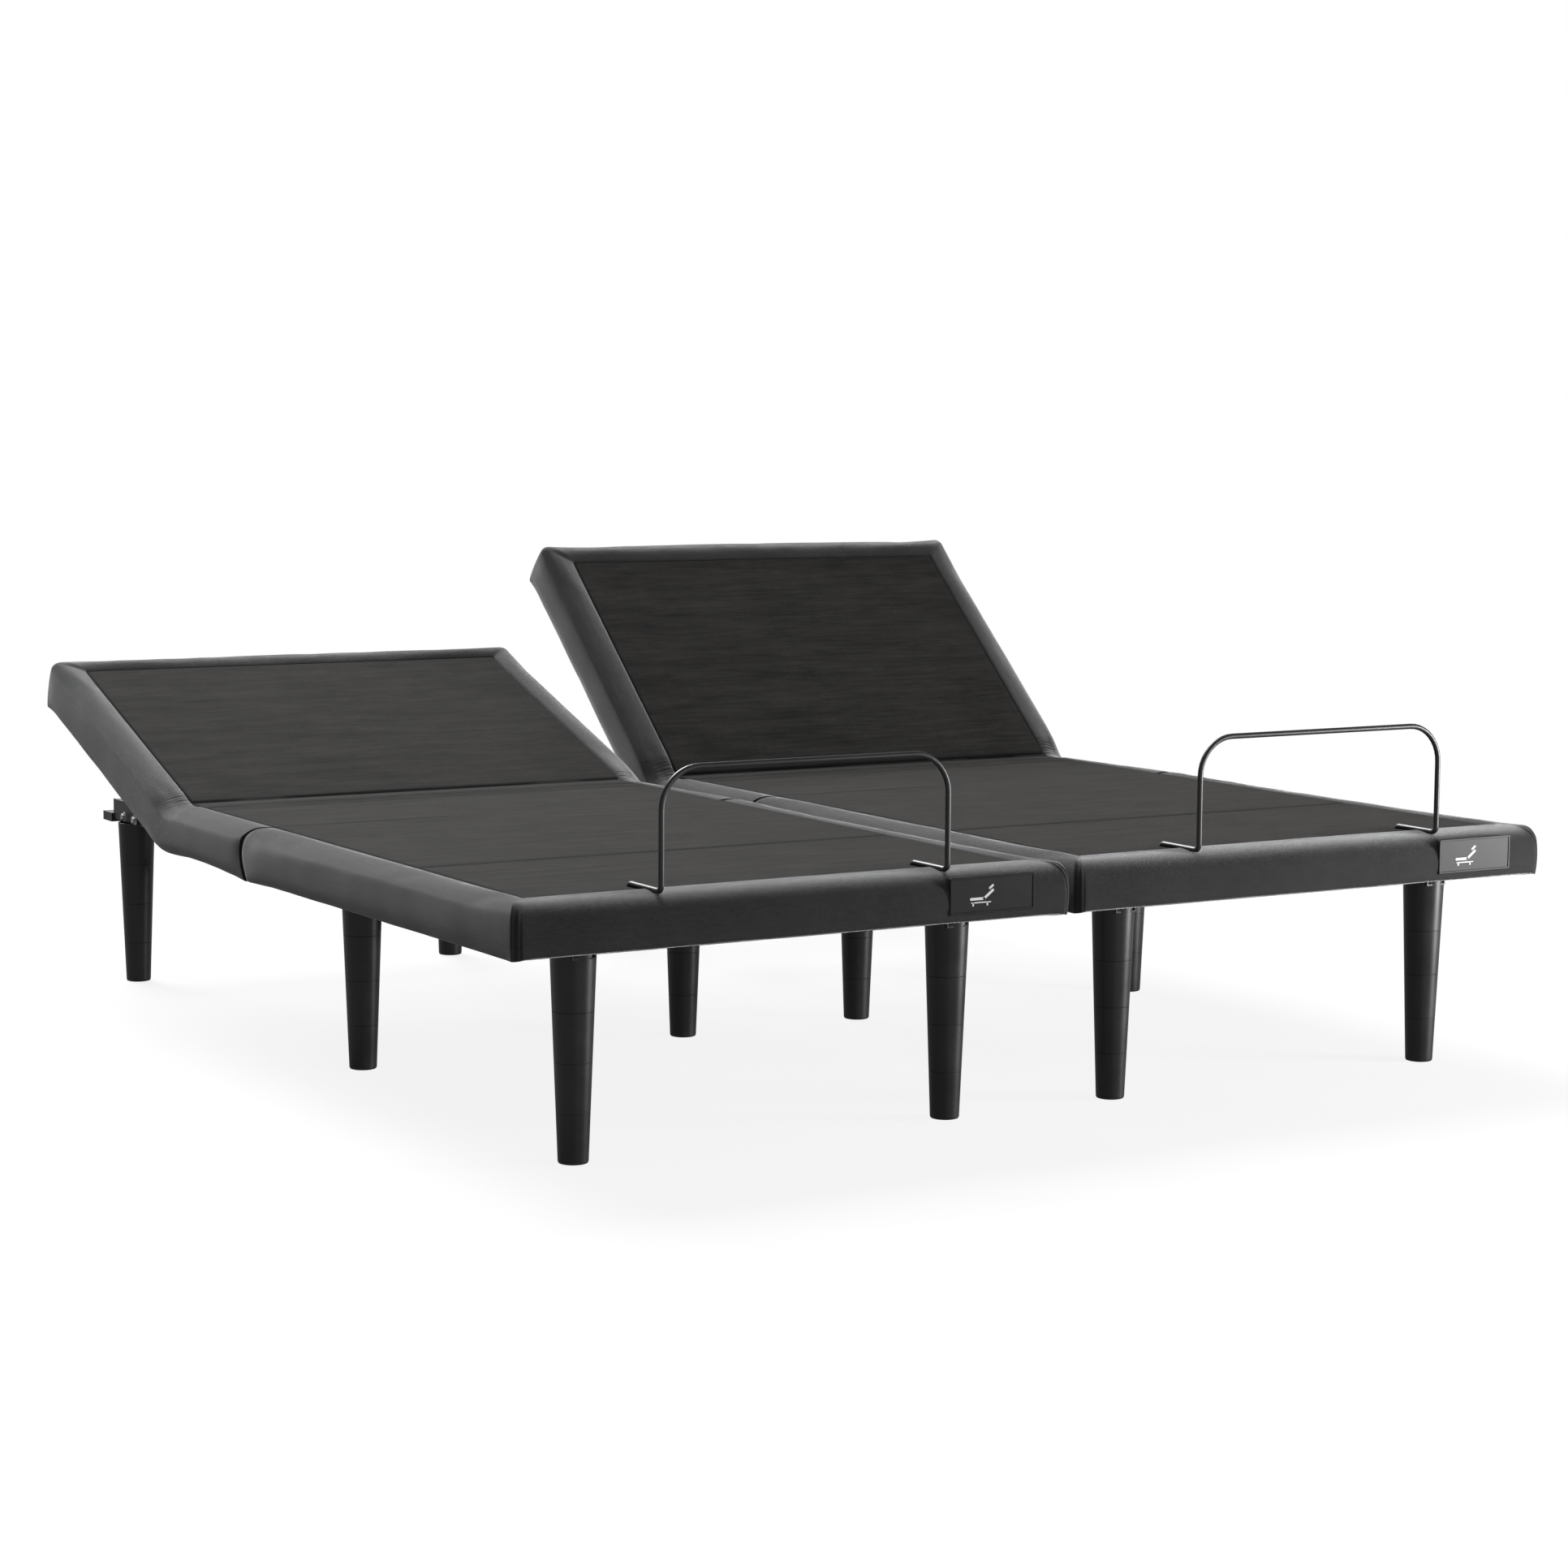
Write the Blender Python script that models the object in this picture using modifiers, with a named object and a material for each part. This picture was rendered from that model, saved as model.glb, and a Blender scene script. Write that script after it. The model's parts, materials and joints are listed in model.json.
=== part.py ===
"""Adjustable bed base: two half-width power bases side by side, on tapered legs.

Each base has a fixed seat section, a head section that tilts up, a thigh section that tilts up and a foot
section hinged to it. The same pieces make both bases. Only the angle of the head section differs at rest.

Every base is modelled in its own bed frame: x from its centre line, y from its foot end towards its head
end, z from the floor. A piece that turns is modelled flat, around its own axis. Units are metres.
"""

import math

import bmesh
import bpy
from mathutils import Matrix, Vector

# Deck
WIDTH = 0.965
BED_GAP = 0.015
DECK_TOP = 0.4073
BORDER_DEPTH = 0.0765
SIDE_BORDER = 0.0549
HEAD_BORDER = 0.0459
FOOT_BORDER = 0.0741
HEAD_LENGTH = 0.6351
Y_KNEE = 0.4390
Y_SPLIT = 1.0088
Y_HEAD_HINGE = 1.3848
COVER_ROUND = 0.020
COVER_SKIN = 0.003
BOARD_THICKNESS = 0.015

# The gap between pieces that touch, and how far two joined shapes run into each other
GAP = 0.0003
JOIN = 0.002

# Hinges between sections
AXIS_DEPTH = 0.008
HINGE_HALF_GAP = 0.0055
BOARD_SETBACK = 0.007
PIN_RADIUS = 0.003
PIN_BORE = 0.0036
KNUCKLE_RADIUS = 0.006
KNUCKLE_X = 0.300
KNUCKLE_LENGTH = 0.030
PIN_HALF_LENGTH = 0.340
LEAF_REACH = 0.060

# Motion, in degrees
HEAD_REST = {"left": 19.5, "right": 41.7}
HEAD_MAX = 62.0
THIGH_MAX = 40.0
KNEE_RATIO = 1.5
HEAD_LIFT_RATIO = 0.9
LEG_LIFT_RATIO = 0.85

# Chassis
RAIL_X = 0.3275
RAIL_WIDTH = 0.040
RAIL_WALL = 0.0025
RAIL_LOW = 0.3080
RAIL_TOP = 0.3480
RAIL_START = 0.085
RAIL_END = 2.003
CROSS_WIDTH = 0.030
CROSS_LOW = 0.3110
CROSS_TOP = 0.3450
ANCHOR_TOP = 0.3320
Y_FOOT_CROSS = 0.1184
Y_HEAD_CROSS = 1.980
RISER_Y = (1.045, 1.345)
RISER_SIDE = 0.030

# The head cover's end border clears the rails below this height, out to this distance from the centre line
RELIEF_X = RAIL_X + 0.040
RELIEF_Z = RAIL_TOP + 0.002

# Legs: (distance from the centre line, distance from the foot end)
LEG_HEIGHT = 0.305
LEG_TOP_RADIUS = 0.0345
LEG_FOOT_RADIUS = 0.0230
LEG_PLACES = {"foot": (0.3288, 0.1184), "middle": (0.3083, 0.9275), "head": (0.3318, 1.9417)}
LEG_BOSS_RADIUS = 0.034
LEG_BOSS_TOP = 0.326
LEG_DISC_TOP = 0.3088

# Lifts: torque tube, two roller arms and a lever that the rod pushes
LIFT_Z = 0.3283
TUBE_RADIUS = 0.016
TUBE_HALF_LENGTH = 0.300
STUB_RADIUS = 0.010
STUB_HALF_LENGTH = 0.318
BEARING_RADIUS = 0.0112
ROLLER_RADIUS = 0.014
ROLLER_LENGTH = 0.030
ARM_X = 0.220
ARM_THICKNESS = 0.008
ARM_HEIGHT = 0.022
ARM_REACH = 0.300
ARM_RISE = 0.0344
HEAD_LIFT_Y = Y_HEAD_HINGE + 0.0057
LEG_LIFT_Y = Y_SPLIT + 0.0232
LEVER = 0.105
LEVER_WIDTH = 0.034
LEVER_THICKNESS = 0.010
LEVER_HOLE = 0.0112
BATTEN_THICKNESS = 0.012
BATTEN_WIDTH = 0.040
BATTEN_START = 0.100

# Motors
MOTOR_X = 0.120
MOTOR_HOUSING = 0.036
MOTOR_LENGTH = 0.480
MOTOR_CAN_RADIUS = 0.024
MOTOR_CAN_X = 0.055
GEARBOX_END = 0.085
ROD_RADIUS = 0.010
ROD_BORE = 0.0115
ROD_LENGTH = 0.260
ROD_SHOWN_RETRACTED = 0.050
FORK_PIN_RADIUS = 0.004
CLEVIS_PIN_BORE = 0.0046
MOTOR_REACH = 0.045

# Forks: half the gap between two cheeks, and a cheek's thickness and half height
MOTOR_FORK = 0.0108
LINK_FORK = 0.0115
CHEEK = 0.005
CHEEK_HALF = 0.012
HOOK_DEPTH = 0.040
FORK_PIN_HALF = 0.014

# Foot link
LINK_PIVOT = (0.784, LIFT_Z)
LINK_LENGTH = 0.4643
LINK_LUG = (-0.120, -0.050)
LINK_EYE = 0.0090
LINK_BOSS = 0.0135
LINK_BAR = (0.0080, 0.0090)

# Retainer bar
BAR_RADIUS = 0.0045
BAR_HALF_WIDTH = 0.249
BAR_SHIFT = 0.009
BAR_HEIGHT = 0.185
BAR_CORNER = 0.062
BAR_POST_Y = 0.0115
BAR_HOLE_Y = 0.112
BAR_LIFT = 0.006
BAR_TAIL = 0.046
BAR_HOLE_RADIUS = 0.0075
BAR_BEND = 0.008

# Plaque, headboard bar, control box and tie plates
PLAQUE_SIZE = (0.157, 0.0037, 0.058)
PLAQUE_X = 0.332
PLAQUE_Z = 0.3715
PLAQUE_RIM = 0.004
PLAQUE_RECESS = 0.0008
BAR_PLATE = 0.004
BAR_PLATE_START = 1.885
HEADBOARD_END = 2.058
HEADBOARD_TUBE = (0.047, 0.303, 0.320)
TUBE_STAND_OUT = 0.005
CONTROL_BOX = ((-0.250, 1.570, 0.2705), (-0.090, 1.700, 0.3105))
SOCKETS = ((-0.215, 0.014, 0.010), (-0.170, 0.008, 0.006), (-0.142, 0.008, 0.006))
SOCKET_DEPTH = 0.012
TIE_PLATE_Y = (0.190, 1.815)
TIE_PLATE_SIZE = (0.380, 0.030, 0.0037)

# The overall box runs from the plaques' faces to the headboard bars
FOOT_END = -(HEADBOARD_END - PLAQUE_SIZE[1] - GAP) / 2
BED_X = (BED_GAP + WIDTH) / 2
AXIS_Z = DECK_TOP - AXIS_DEPTH
BOARD_TOP = AXIS_DEPTH - COVER_SKIN - GAP
BOARD_BOTTOM = BOARD_TOP - BOARD_THICKNESS
BOARD_HALF_WIDTH = WIDTH / 2 - SIDE_BORDER - 0.0005
THIGH_LENGTH = Y_SPLIT - Y_KNEE
HEAD_LEVER_MID = HEAD_MAX * HEAD_LIFT_RATIO / 2
LEG_LEVER_MID = THIGH_MAX * LEG_LIFT_RATIO / 2


def clear_scene():
    for old in list(bpy.data.objects):
        bpy.data.objects.remove(old, do_unlink=True)


def new_collection(name):
    collection = bpy.data.collections.new(name)
    bpy.context.scene.collection.children.link(collection)
    return collection


def as_object(name, bm):
    """A helper object from a bmesh, in the workshop collection."""
    mesh = bpy.data.meshes.new(name)
    bm.to_mesh(mesh)
    bm.free()
    shape = bpy.data.objects.new(name, mesh)
    shape.hide_render = True
    shape.display_type = "WIRE"
    WORKSHOP.objects.link(shape)
    return shape


def block_bmesh(low, high):
    low = Vector(low)
    high = Vector(high)
    place = Matrix.Translation((low + high) / 2) @ Matrix.Diagonal((*(high - low), 1))
    bm = bmesh.new()
    bmesh.ops.create_cube(bm, size=1, matrix=place)
    return bm


def block(low, high):
    return as_object("block", block_bmesh(low, high))


def rod(start, end, radius, sides=12):
    start = Vector(start)
    along = Vector(end) - start
    place = Matrix.Translation(start + along / 2) @ along.to_track_quat("Z", "Y").to_matrix().to_4x4()
    bm = bmesh.new()
    bmesh.ops.create_cone(
        bm, cap_ends=True, segments=sides, radius1=radius, radius2=radius, depth=along.length, matrix=place
    )
    return as_object("rod", bm)


def boolean(body, tool, operation):
    modifier = body.modifiers.new(operation.lower(), "BOOLEAN")
    modifier.operation = operation
    modifier.object = tool
    modifier.solver = "EXACT"
    graph = bpy.context.evaluated_depsgraph_get()
    result = bpy.data.meshes.new_from_object(body.evaluated_get(graph))
    body.modifiers.clear()
    body.data = result
    bpy.data.objects.remove(tool, do_unlink=True)


def fused(solids, cuts=()):
    """One mesh from overlapping solids, less the cuts."""
    body = solids[0]
    for tool in solids[1:]:
        boolean(body, tool, "UNION")
    for tool in cuts:
        boolean(body, tool, "DIFFERENCE")
    mesh = body.data
    bpy.data.objects.remove(body, do_unlink=True)
    return mesh


def mirrored(low, high):
    """The same block on both sides of the centre line."""
    return [
        block(low, high),
        block((-high[0], low[1], low[2]), (-low[0], high[1], high[2])),
    ]


# ---- deck covers and boards, each around its own hinge axis ----


def cover_mesh(low_y, high_y, closed=None, notched=None, holes=()):
    """An upholstered cover: a top skin with deep padded borders down both sides.

    closed names the end, low or high, that a border closes. notched names the end whose border leans back,
    so that the two sides of a knee can fold together underneath. The border at the high end is shallower
    between its corners, so that it closes over the rails.
    """
    half = WIDTH / 2
    bottom = AXIS_DEPTH - BORDER_DEPTH
    bm = block_bmesh((-half, low_y, bottom), (half, high_y, AXIS_DEPTH))
    if notched:
        end = low_y if notched == "low" else high_y
        inwards = 1 if notched == "low" else -1
        lean = (BORDER_DEPTH - AXIS_DEPTH) * math.tan(math.radians(KNEE_RATIO * THIGH_MAX / 2))
        for vertex in bm.verts:
            if abs(vertex.co.y - end) < GAP and vertex.co.z < 0:
                vertex.co.y += inwards * lean
    closed_y = {"low": low_y, "high": high_y}.get(closed)

    def is_outer(edge):
        runs_along = abs(edge.verts[0].co.y - edge.verts[1].co.y) > GAP
        at_closed_end = closed and all(abs(v.co.y - closed_y) < GAP for v in edge.verts)
        return runs_along or at_closed_end

    edges = [edge for edge in bm.edges if is_outer(edge)]
    bmesh.ops.bevel(bm, geom=edges, offset=COVER_ROUND, segments=3, profile=0.5, affect="EDGES")
    cavity_low = low_y + FOOT_BORDER if closed == "low" else low_y - SIDE_BORDER
    cavity_high = high_y - HEAD_BORDER if closed == "high" else high_y + SIDE_BORDER
    inside = half - SIDE_BORDER
    cavity_top = AXIS_DEPTH - COVER_SKIN
    cavity = block((-inside, cavity_low, bottom - SIDE_BORDER), (inside, cavity_high, cavity_top))
    cutters = [rod((x, y, bottom), (x, y, AXIS_DEPTH + SIDE_BORDER), radius) for x, y, radius in holes]
    if closed == "high":
        relief_low = (-RELIEF_X, cavity_high - SIDE_BORDER, bottom - SIDE_BORDER)
        cutters.append(block(relief_low, (RELIEF_X, high_y + SIDE_BORDER, RELIEF_Z - AXIS_Z)))
    return fused([as_object("cover", bm)], [cavity, *cutters])


def knuckles(y_axis, towards, moving):
    """Two hinge barrels with leaves that reach back into a board, and the cutter for their bore.

    The fixed board's barrels sit inside the moving board's.
    """
    near = KNUCKLE_X + GAP if moving else KNUCKLE_X - KNUCKLE_LENGTH
    far = near + KNUCKLE_LENGTH - GAP
    leaf = PIN_RADIUS
    reach = sorted((y_axis, y_axis + towards * LEAF_REACH))
    solids = mirrored((near, reach[0], -leaf), (far, reach[1], leaf))
    for side in (-1, 1):
        solids.append(rod((side * near, y_axis, 0), (side * far, y_axis, 0), KNUCKLE_RADIUS, 8))
    bore = rod((-WIDTH / 2, y_axis, 0), (WIDTH / 2, y_axis, 0), PIN_BORE, 8)
    return solids, bore


def battens(low_y, high_y):
    half = BATTEN_WIDTH / 2
    bottom = BOARD_BOTTOM - BATTEN_THICKNESS
    return mirrored((ARM_X - half, low_y, bottom), (ARM_X + half, high_y, BOARD_BOTTOM + GAP))


def board(low_y, high_y):
    return block((-BOARD_HALF_WIDTH, low_y, BOARD_BOTTOM), (BOARD_HALF_WIDTH, high_y, BOARD_TOP))


def seat_board_mesh():
    """Around the head hinge axis, reaching back to the split."""
    split = Y_SPLIT - Y_HEAD_HINGE
    head_side, head_bore = knuckles(0, -1, moving=False)
    split_side, split_bore = knuckles(split, 1, moving=False)
    panel = board(split + BOARD_SETBACK, -BOARD_SETBACK)
    return fused([panel, *head_side, *split_side], [head_bore, split_bore])


def head_board_mesh():
    hinge, bore = knuckles(0, 1, moving=True)
    end = HEAD_LENGTH - HEAD_BORDER - GAP
    ribs = battens(BATTEN_START, end - 0.040)
    return fused([board(BOARD_SETBACK, end), *ribs, *hinge], [bore])


def thigh_board_mesh():
    hinge, bore = knuckles(0, -1, moving=True)
    knee, knee_bore = knuckles(-THIGH_LENGTH, 1, moving=False)
    ribs = battens(-THIGH_LENGTH + 0.050, -BATTEN_START)
    panel = board(-THIGH_LENGTH + BOARD_SETBACK, -BOARD_SETBACK)
    return fused([panel, *ribs, *hinge, *knee], [bore, knee_bore])


def foot_board_mesh():
    """Around the knee axis, with a forked lug for the foot link and two holes for the retainer bar."""
    hinge, bore = knuckles(0, -1, moving=True)
    panel = board(-Y_KNEE + FOOT_BORDER + GAP, -BOARD_SETBACK)
    y, z = LINK_LUG
    low = (LINK_FORK, y - CHEEK_HALF, z - CHEEK_HALF)
    cheeks = mirrored(low, (LINK_FORK + CHEEK, y + CHEEK_HALF, BOARD_BOTTOM + JOIN))
    lug_pin = rod((-FORK_PIN_HALF, y, z), (FORK_PIN_HALF, y, z), FORK_PIN_RADIUS)
    holes = [rod((x, hole_y, -WIDTH), (x, hole_y, WIDTH), radius) for x, hole_y, radius in bar_holes()]
    return fused([panel, *cheeks, lug_pin, *hinge], [bore, *holes])


def bar_holes():
    y = BAR_HOLE_Y - Y_KNEE
    return [(BAR_SHIFT + side * BAR_HALF_WIDTH, y, BAR_HOLE_RADIUS) for side in (-1, 1)]


def pin_mesh():
    return fused([rod((-PIN_HALF_LENGTH, 0, 0), (PIN_HALF_LENGTH, 0, 0), PIN_RADIUS, 8)])


# ---- chassis ----


def cross_member(y, top=CROSS_TOP):
    half = CROSS_WIDTH / 2
    return block((-RAIL_X, y - half, CROSS_LOW), (RAIL_X, y + half, top))


def leg_bosses():
    """A round boss under each rail for each leg: a thin disc at the head end, to clear the bar's plates."""
    bosses = []
    for end, (x, y) in LEG_PLACES.items():
        top = LEG_DISC_TOP if end == "head" else LEG_BOSS_TOP
        for side in (-1, 1):
            bosses.append(rod((side * x, y, LEG_HEIGHT + GAP), (side * x, y, top), LEG_BOSS_RADIUS, 24))
    return bosses


def hanging_clevis(x, y, cross_y, pin_z):
    """Two hooked cheeks under a cross member, with a pin between them for a motor's tail."""
    solids = [rod((x - FORK_PIN_HALF, y, pin_z), (x + FORK_PIN_HALF, y, pin_z), FORK_PIN_RADIUS)]
    top = CROSS_LOW + JOIN
    for near in (-MOTOR_FORK - CHEEK, MOTOR_FORK):
        start = x + near
        end = start + CHEEK
        solids.append(block((start, y - CHEEK_HALF, pin_z - CHEEK_HALF), (end, y + CHEEK_HALF, top)))
        solids.append(block((start, y - CHEEK_HALF / 2, top - HOOK_DEPTH), (end, cross_y + CHEEK_HALF, top)))
    return solids


def chassis_mesh():
    half = RAIL_WIDTH / 2
    rails = mirrored((RAIL_X - half, RAIL_START, RAIL_LOW), (RAIL_X + half, RAIL_END, RAIL_TOP))
    foot_anchor, head_anchor = motor_anchors()
    crosses = [cross_member(y) for y in (Y_FOOT_CROSS, Y_HEAD_CROSS)]
    crosses += [cross_member(y, ANCHOR_TOP) for y in (foot_anchor, head_anchor)]
    risers = []
    for y in RISER_Y:
        side = RISER_SIDE / 2
        top = AXIS_Z + BOARD_BOTTOM - GAP
        risers += mirrored((RAIL_X - side, y - side, RAIL_TOP - JOIN), (RAIL_X + side, y + side, top))
    link_y, link_z = LINK_PIVOT
    link_low = (LINK_FORK, link_y - CHEEK_HALF, link_z - CHEEK_HALF)
    link_cheeks = mirrored(link_low, (LINK_FORK + CHEEK, foot_anchor, link_z + CHEEK_HALF))
    link_pin = rod((-FORK_PIN_HALF, link_y, link_z), (FORK_PIN_HALF, link_y, link_z), FORK_PIN_RADIUS)
    clevises = [
        *hanging_clevis(-MOTOR_X, head_motor_tail(), foot_anchor, rod_z(HEAD_LEVER_MID)),
        *hanging_clevis(MOTOR_X, leg_motor_tail(), head_anchor, rod_z(LEG_LEVER_MID)),
    ]
    inner = half - RAIL_WALL
    hollows = mirrored(
        (RAIL_X - inner, RAIL_START - RAIL_WIDTH, RAIL_LOW + RAIL_WALL),
        (RAIL_X + inner, RAIL_END + RAIL_WIDTH, RAIL_TOP - RAIL_WALL),
    )
    bearings = []
    for y in (HEAD_LIFT_Y, LEG_LIFT_Y):
        for side in (-1, 1):
            start = (side * (RAIL_X - RAIL_WIDTH), y, LIFT_Z)
            bearings.append(rod(start, (side * RAIL_X, y, LIFT_Z), BEARING_RADIUS))
    solids = [*rails, *crosses, *risers, *leg_bosses(), *link_cheeks, link_pin, *clevises]
    return fused(solids, [*hollows, *bearings])


def motor_anchors():
    """The y of the cross members that the head motor and the leg motor hang from."""
    return head_motor_tail() + MOTOR_REACH, leg_motor_tail() + MOTOR_REACH


# ---- lifts, rods and motors ----


def lever_swing(middle):
    """How far a lever's pin moves to each side of its pivot."""
    return LEVER * math.sin(math.radians(middle))


def rod_z(middle):
    """The height of a rod: halfway between the highest and lowest place of its lever's pin."""
    return LIFT_Z - LEVER * (1 + math.cos(math.radians(middle))) / 2


def head_motor_tail():
    retracted = HEAD_LIFT_Y - lever_swing(HEAD_LEVER_MID)
    return retracted - ROD_SHOWN_RETRACTED - MOTOR_LENGTH


def leg_motor_tail():
    retracted = LEG_LIFT_Y + lever_swing(LEG_LEVER_MID)
    return retracted + ROD_SHOWN_RETRACTED + MOTOR_LENGTH


def lift_mesh(towards, lever_x, middle):
    """A torque tube with two roller arms and one lever, around its own axis, at its lowest position."""
    solids = [rod((-TUBE_HALF_LENGTH, 0, 0), (TUBE_HALF_LENGTH, 0, 0), TUBE_RADIUS, 16)]
    solids.append(rod((-STUB_HALF_LENGTH, 0, 0), (STUB_HALF_LENGTH, 0, 0), STUB_RADIUS))
    tilt = Matrix.Rotation(math.atan2(ARM_RISE, towards * ARM_REACH), 4, "X")
    length = math.hypot(ARM_REACH, ARM_RISE)
    for side in (-1, 1):
        half = ARM_THICKNESS / 2
        bm = block_bmesh((-half, 0, -ARM_HEIGHT / 2), (half, length, ARM_HEIGHT / 2))
        bm.transform(Matrix.Translation((side * ARM_X, 0, 0)) @ tilt)
        solids.append(as_object("arm", bm))
        roller = Vector((side * ARM_X, towards * ARM_REACH, ARM_RISE))
        across = Vector((ROLLER_LENGTH / 2, 0, 0))
        solids.append(rod(roller - across, roller + across, ROLLER_RADIUS))
    lever = Matrix.Translation((lever_x, 0, 0)) @ Matrix.Rotation(math.radians(-middle * towards), 4, "X")
    half_x = LEVER_THICKNESS / 2
    half_y = LEVER_WIDTH / 2
    bm = block_bmesh((-half_x, -half_y, -LEVER), (half_x, half_y, 0))
    bm.transform(lever)
    solids.append(as_object("lever", bm))
    tip = lever @ Vector((0, 0, -LEVER))
    across = Vector((half_x, 0, 0))
    solids.append(rod(tip - across, tip + across, half_y, 16))
    hole = rod(tip - 2 * across, tip + 2 * across, LEVER_HOLE)
    return fused(solids, [hole])


def rod_mesh():
    """The moving rod, from its fork pin at the origin back along -y."""
    shaft = rod((0, -ROD_LENGTH, 0), (0, -0.030, 0), ROD_RADIUS)
    fork = block((-0.0125, -0.040, -0.012), (0.0125, 0.013, 0.012))
    slot = block((-0.0058, -0.026, -0.020), (0.0058, 0.020, 0.020))
    boolean(fork, slot, "DIFFERENCE")
    return fused([shaft, fork, rod((-0.010, 0, 0), (0.010, 0, 0), FORK_PIN_RADIUS)])


def motor_mesh():
    """A motor from its tail eye at the origin, pushing along +y."""
    half = MOTOR_HOUSING / 2
    eye = block((-0.0100, -0.011, -0.011), (0.0100, 0.040, 0.011))
    gearbox = block((-0.022, 0.030, -0.023), (MOTOR_CAN_X + 0.026, GEARBOX_END, 0.023))
    housing = block((-half, GEARBOX_END - 0.005, -half), (half, MOTOR_LENGTH, half))
    can_start = (MOTOR_CAN_X, GEARBOX_END - 0.005, 0)
    can = rod(can_start, (MOTOR_CAN_X, 0.230, 0), MOTOR_CAN_RADIUS, 16)
    bore = rod((0, GEARBOX_END, 0), (0, MOTOR_LENGTH + 0.010, 0), ROD_BORE)
    eye_bore = rod((-0.020, 0, 0), (0.020, 0, 0), CLEVIS_PIN_BORE)
    return fused([gearbox, eye, housing, can], [bore, eye_bore])


def link_mesh():
    """The foot link, around its chassis pivot, pointing along -y."""
    half_x, half_z = LINK_BAR
    boss = LINK_FORK - CHEEK / 5
    bar = block((-half_x, -LINK_LENGTH, -half_z), (half_x, 0, half_z))
    ends = []
    bores = []
    for y, radius in ((0, CLEVIS_PIN_BORE), (-LINK_LENGTH, LINK_EYE)):
        ends.append(rod((-boss, y, 0), (boss, y, 0), LINK_BOSS, 16))
        bores.append(rod((-2 * boss, y, 0), (2 * boss, y, 0), radius))
    return fused([bar, *ends], bores)


# ---- pieces that fasten on ----


def leg_mesh():
    """A turned leg, as a profile from top to bottom that a Screw modifier spins."""
    bm = bmesh.new()
    profile = [(0, LEG_HEIGHT), (LEG_TOP_RADIUS, LEG_HEIGHT), (LEG_FOOT_RADIUS, 0), (0, 0)]
    points = [bm.verts.new((radius, 0, z)) for radius, z in profile]
    for first, second in zip(points, points[1:]):
        bm.edges.new((first, second))
    shape = as_object("leg", bm)
    screw = shape.modifiers.new("turned", "SCREW")
    screw.steps = 20
    screw.render_steps = 20
    screw.use_merge_vertices = True
    screw.merge_threshold = 0.0001
    graph = bpy.context.evaluated_depsgraph_get()
    mesh = bpy.data.meshes.new_from_object(shape.evaluated_get(graph))
    bpy.data.objects.remove(shape, do_unlink=True)
    return mesh


def retainer_points():
    """The bar's centre line from one tail to the other, in the knee's frame."""
    knee = -Y_KNEE
    level = AXIS_DEPTH + BAR_LIFT
    post_y = knee + BAR_POST_Y
    hole_y = knee + BAR_HOLE_Y
    bend = BAR_BEND
    middle = bend * (1 - math.sqrt(0.5))
    route = [
        (hole_y, level - BAR_TAIL),
        (hole_y, level - bend),
        (hole_y - middle, level - middle),
        (hole_y - bend, level),
        (post_y + bend, level),
        (post_y + middle, level + middle),
        (post_y, level + bend),
    ]
    half = [(BAR_HALF_WIDTH, y, z) for y, z in route]
    for step in range(5):
        angle = math.radians(90 * step / 4)
        x = BAR_HALF_WIDTH - BAR_CORNER * (1 - math.cos(angle))
        z = AXIS_DEPTH + BAR_HEIGHT - BAR_CORNER * (1 - math.sin(angle))
        half.append((x, post_y, z))
    other = [(-x, y, z) for x, y, z in reversed(half)]
    return [(x + BAR_SHIFT, y, z) for x, y, z in half + other]


def retainer_mesh():
    curve = bpy.data.curves.new("retainer", "CURVE")
    curve.dimensions = "3D"
    curve.bevel_depth = BAR_RADIUS
    curve.bevel_resolution = 1
    curve.use_fill_caps = True
    points = retainer_points()
    spline = curve.splines.new("POLY")
    spline.points.add(len(points) - 1)
    for point, place in zip(spline.points, points):
        point.co = (*place, 1)
    shape = bpy.data.objects.new("retainer", curve)
    WORKSHOP.objects.link(shape)
    graph = bpy.context.evaluated_depsgraph_get()
    mesh = bpy.data.meshes.new_from_object(shape.evaluated_get(graph))
    bpy.data.objects.remove(shape, do_unlink=True)
    bm = bmesh.new()
    bm.from_mesh(mesh)
    bmesh.ops.remove_doubles(bm, verts=bm.verts, dist=0.00001)
    bmesh.ops.recalc_face_normals(bm, faces=bm.faces)
    bm.to_mesh(mesh)
    bm.free()
    return mesh


def plaque_mesh():
    """A dark plate with a raised rim, standing on the foot cover's end face."""
    width, depth, height = PLAQUE_SIZE
    y = -Y_KNEE - GAP
    z = PLAQUE_Z - AXIS_Z
    rim = PLAQUE_RIM
    low = (PLAQUE_X - width / 2, y - depth, z - height / 2)
    high = (PLAQUE_X + width / 2, y, z + height / 2)
    inner_low = (low[0] + rim, y - depth - rim, low[2] + rim)
    inner_high = (high[0] - rim, y - depth + PLAQUE_RECESS, high[2] - rim)
    return fused([block(low, high)], [block(inner_low, inner_high)])


def headboard_bar_mesh():
    """Two plates bolted to the rails' outer faces, joined by a flat tube behind the head end."""
    depth, low_z, high_z = HEADBOARD_TUBE
    plate = RAIL_X + RAIL_WIDTH / 2 + GAP
    outer = plate + BAR_PLATE
    tube_end = outer + TUBE_STAND_OUT
    tube = block((-tube_end, HEADBOARD_END - depth, low_z), (tube_end, HEADBOARD_END, high_z))
    plate_low = (plate, BAR_PLATE_START, LEG_DISC_TOP + GAP)
    plates = mirrored(plate_low, (outer, HEADBOARD_END - depth + JOIN, RAIL_TOP - GAP))
    return fused([tube, *plates])


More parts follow.
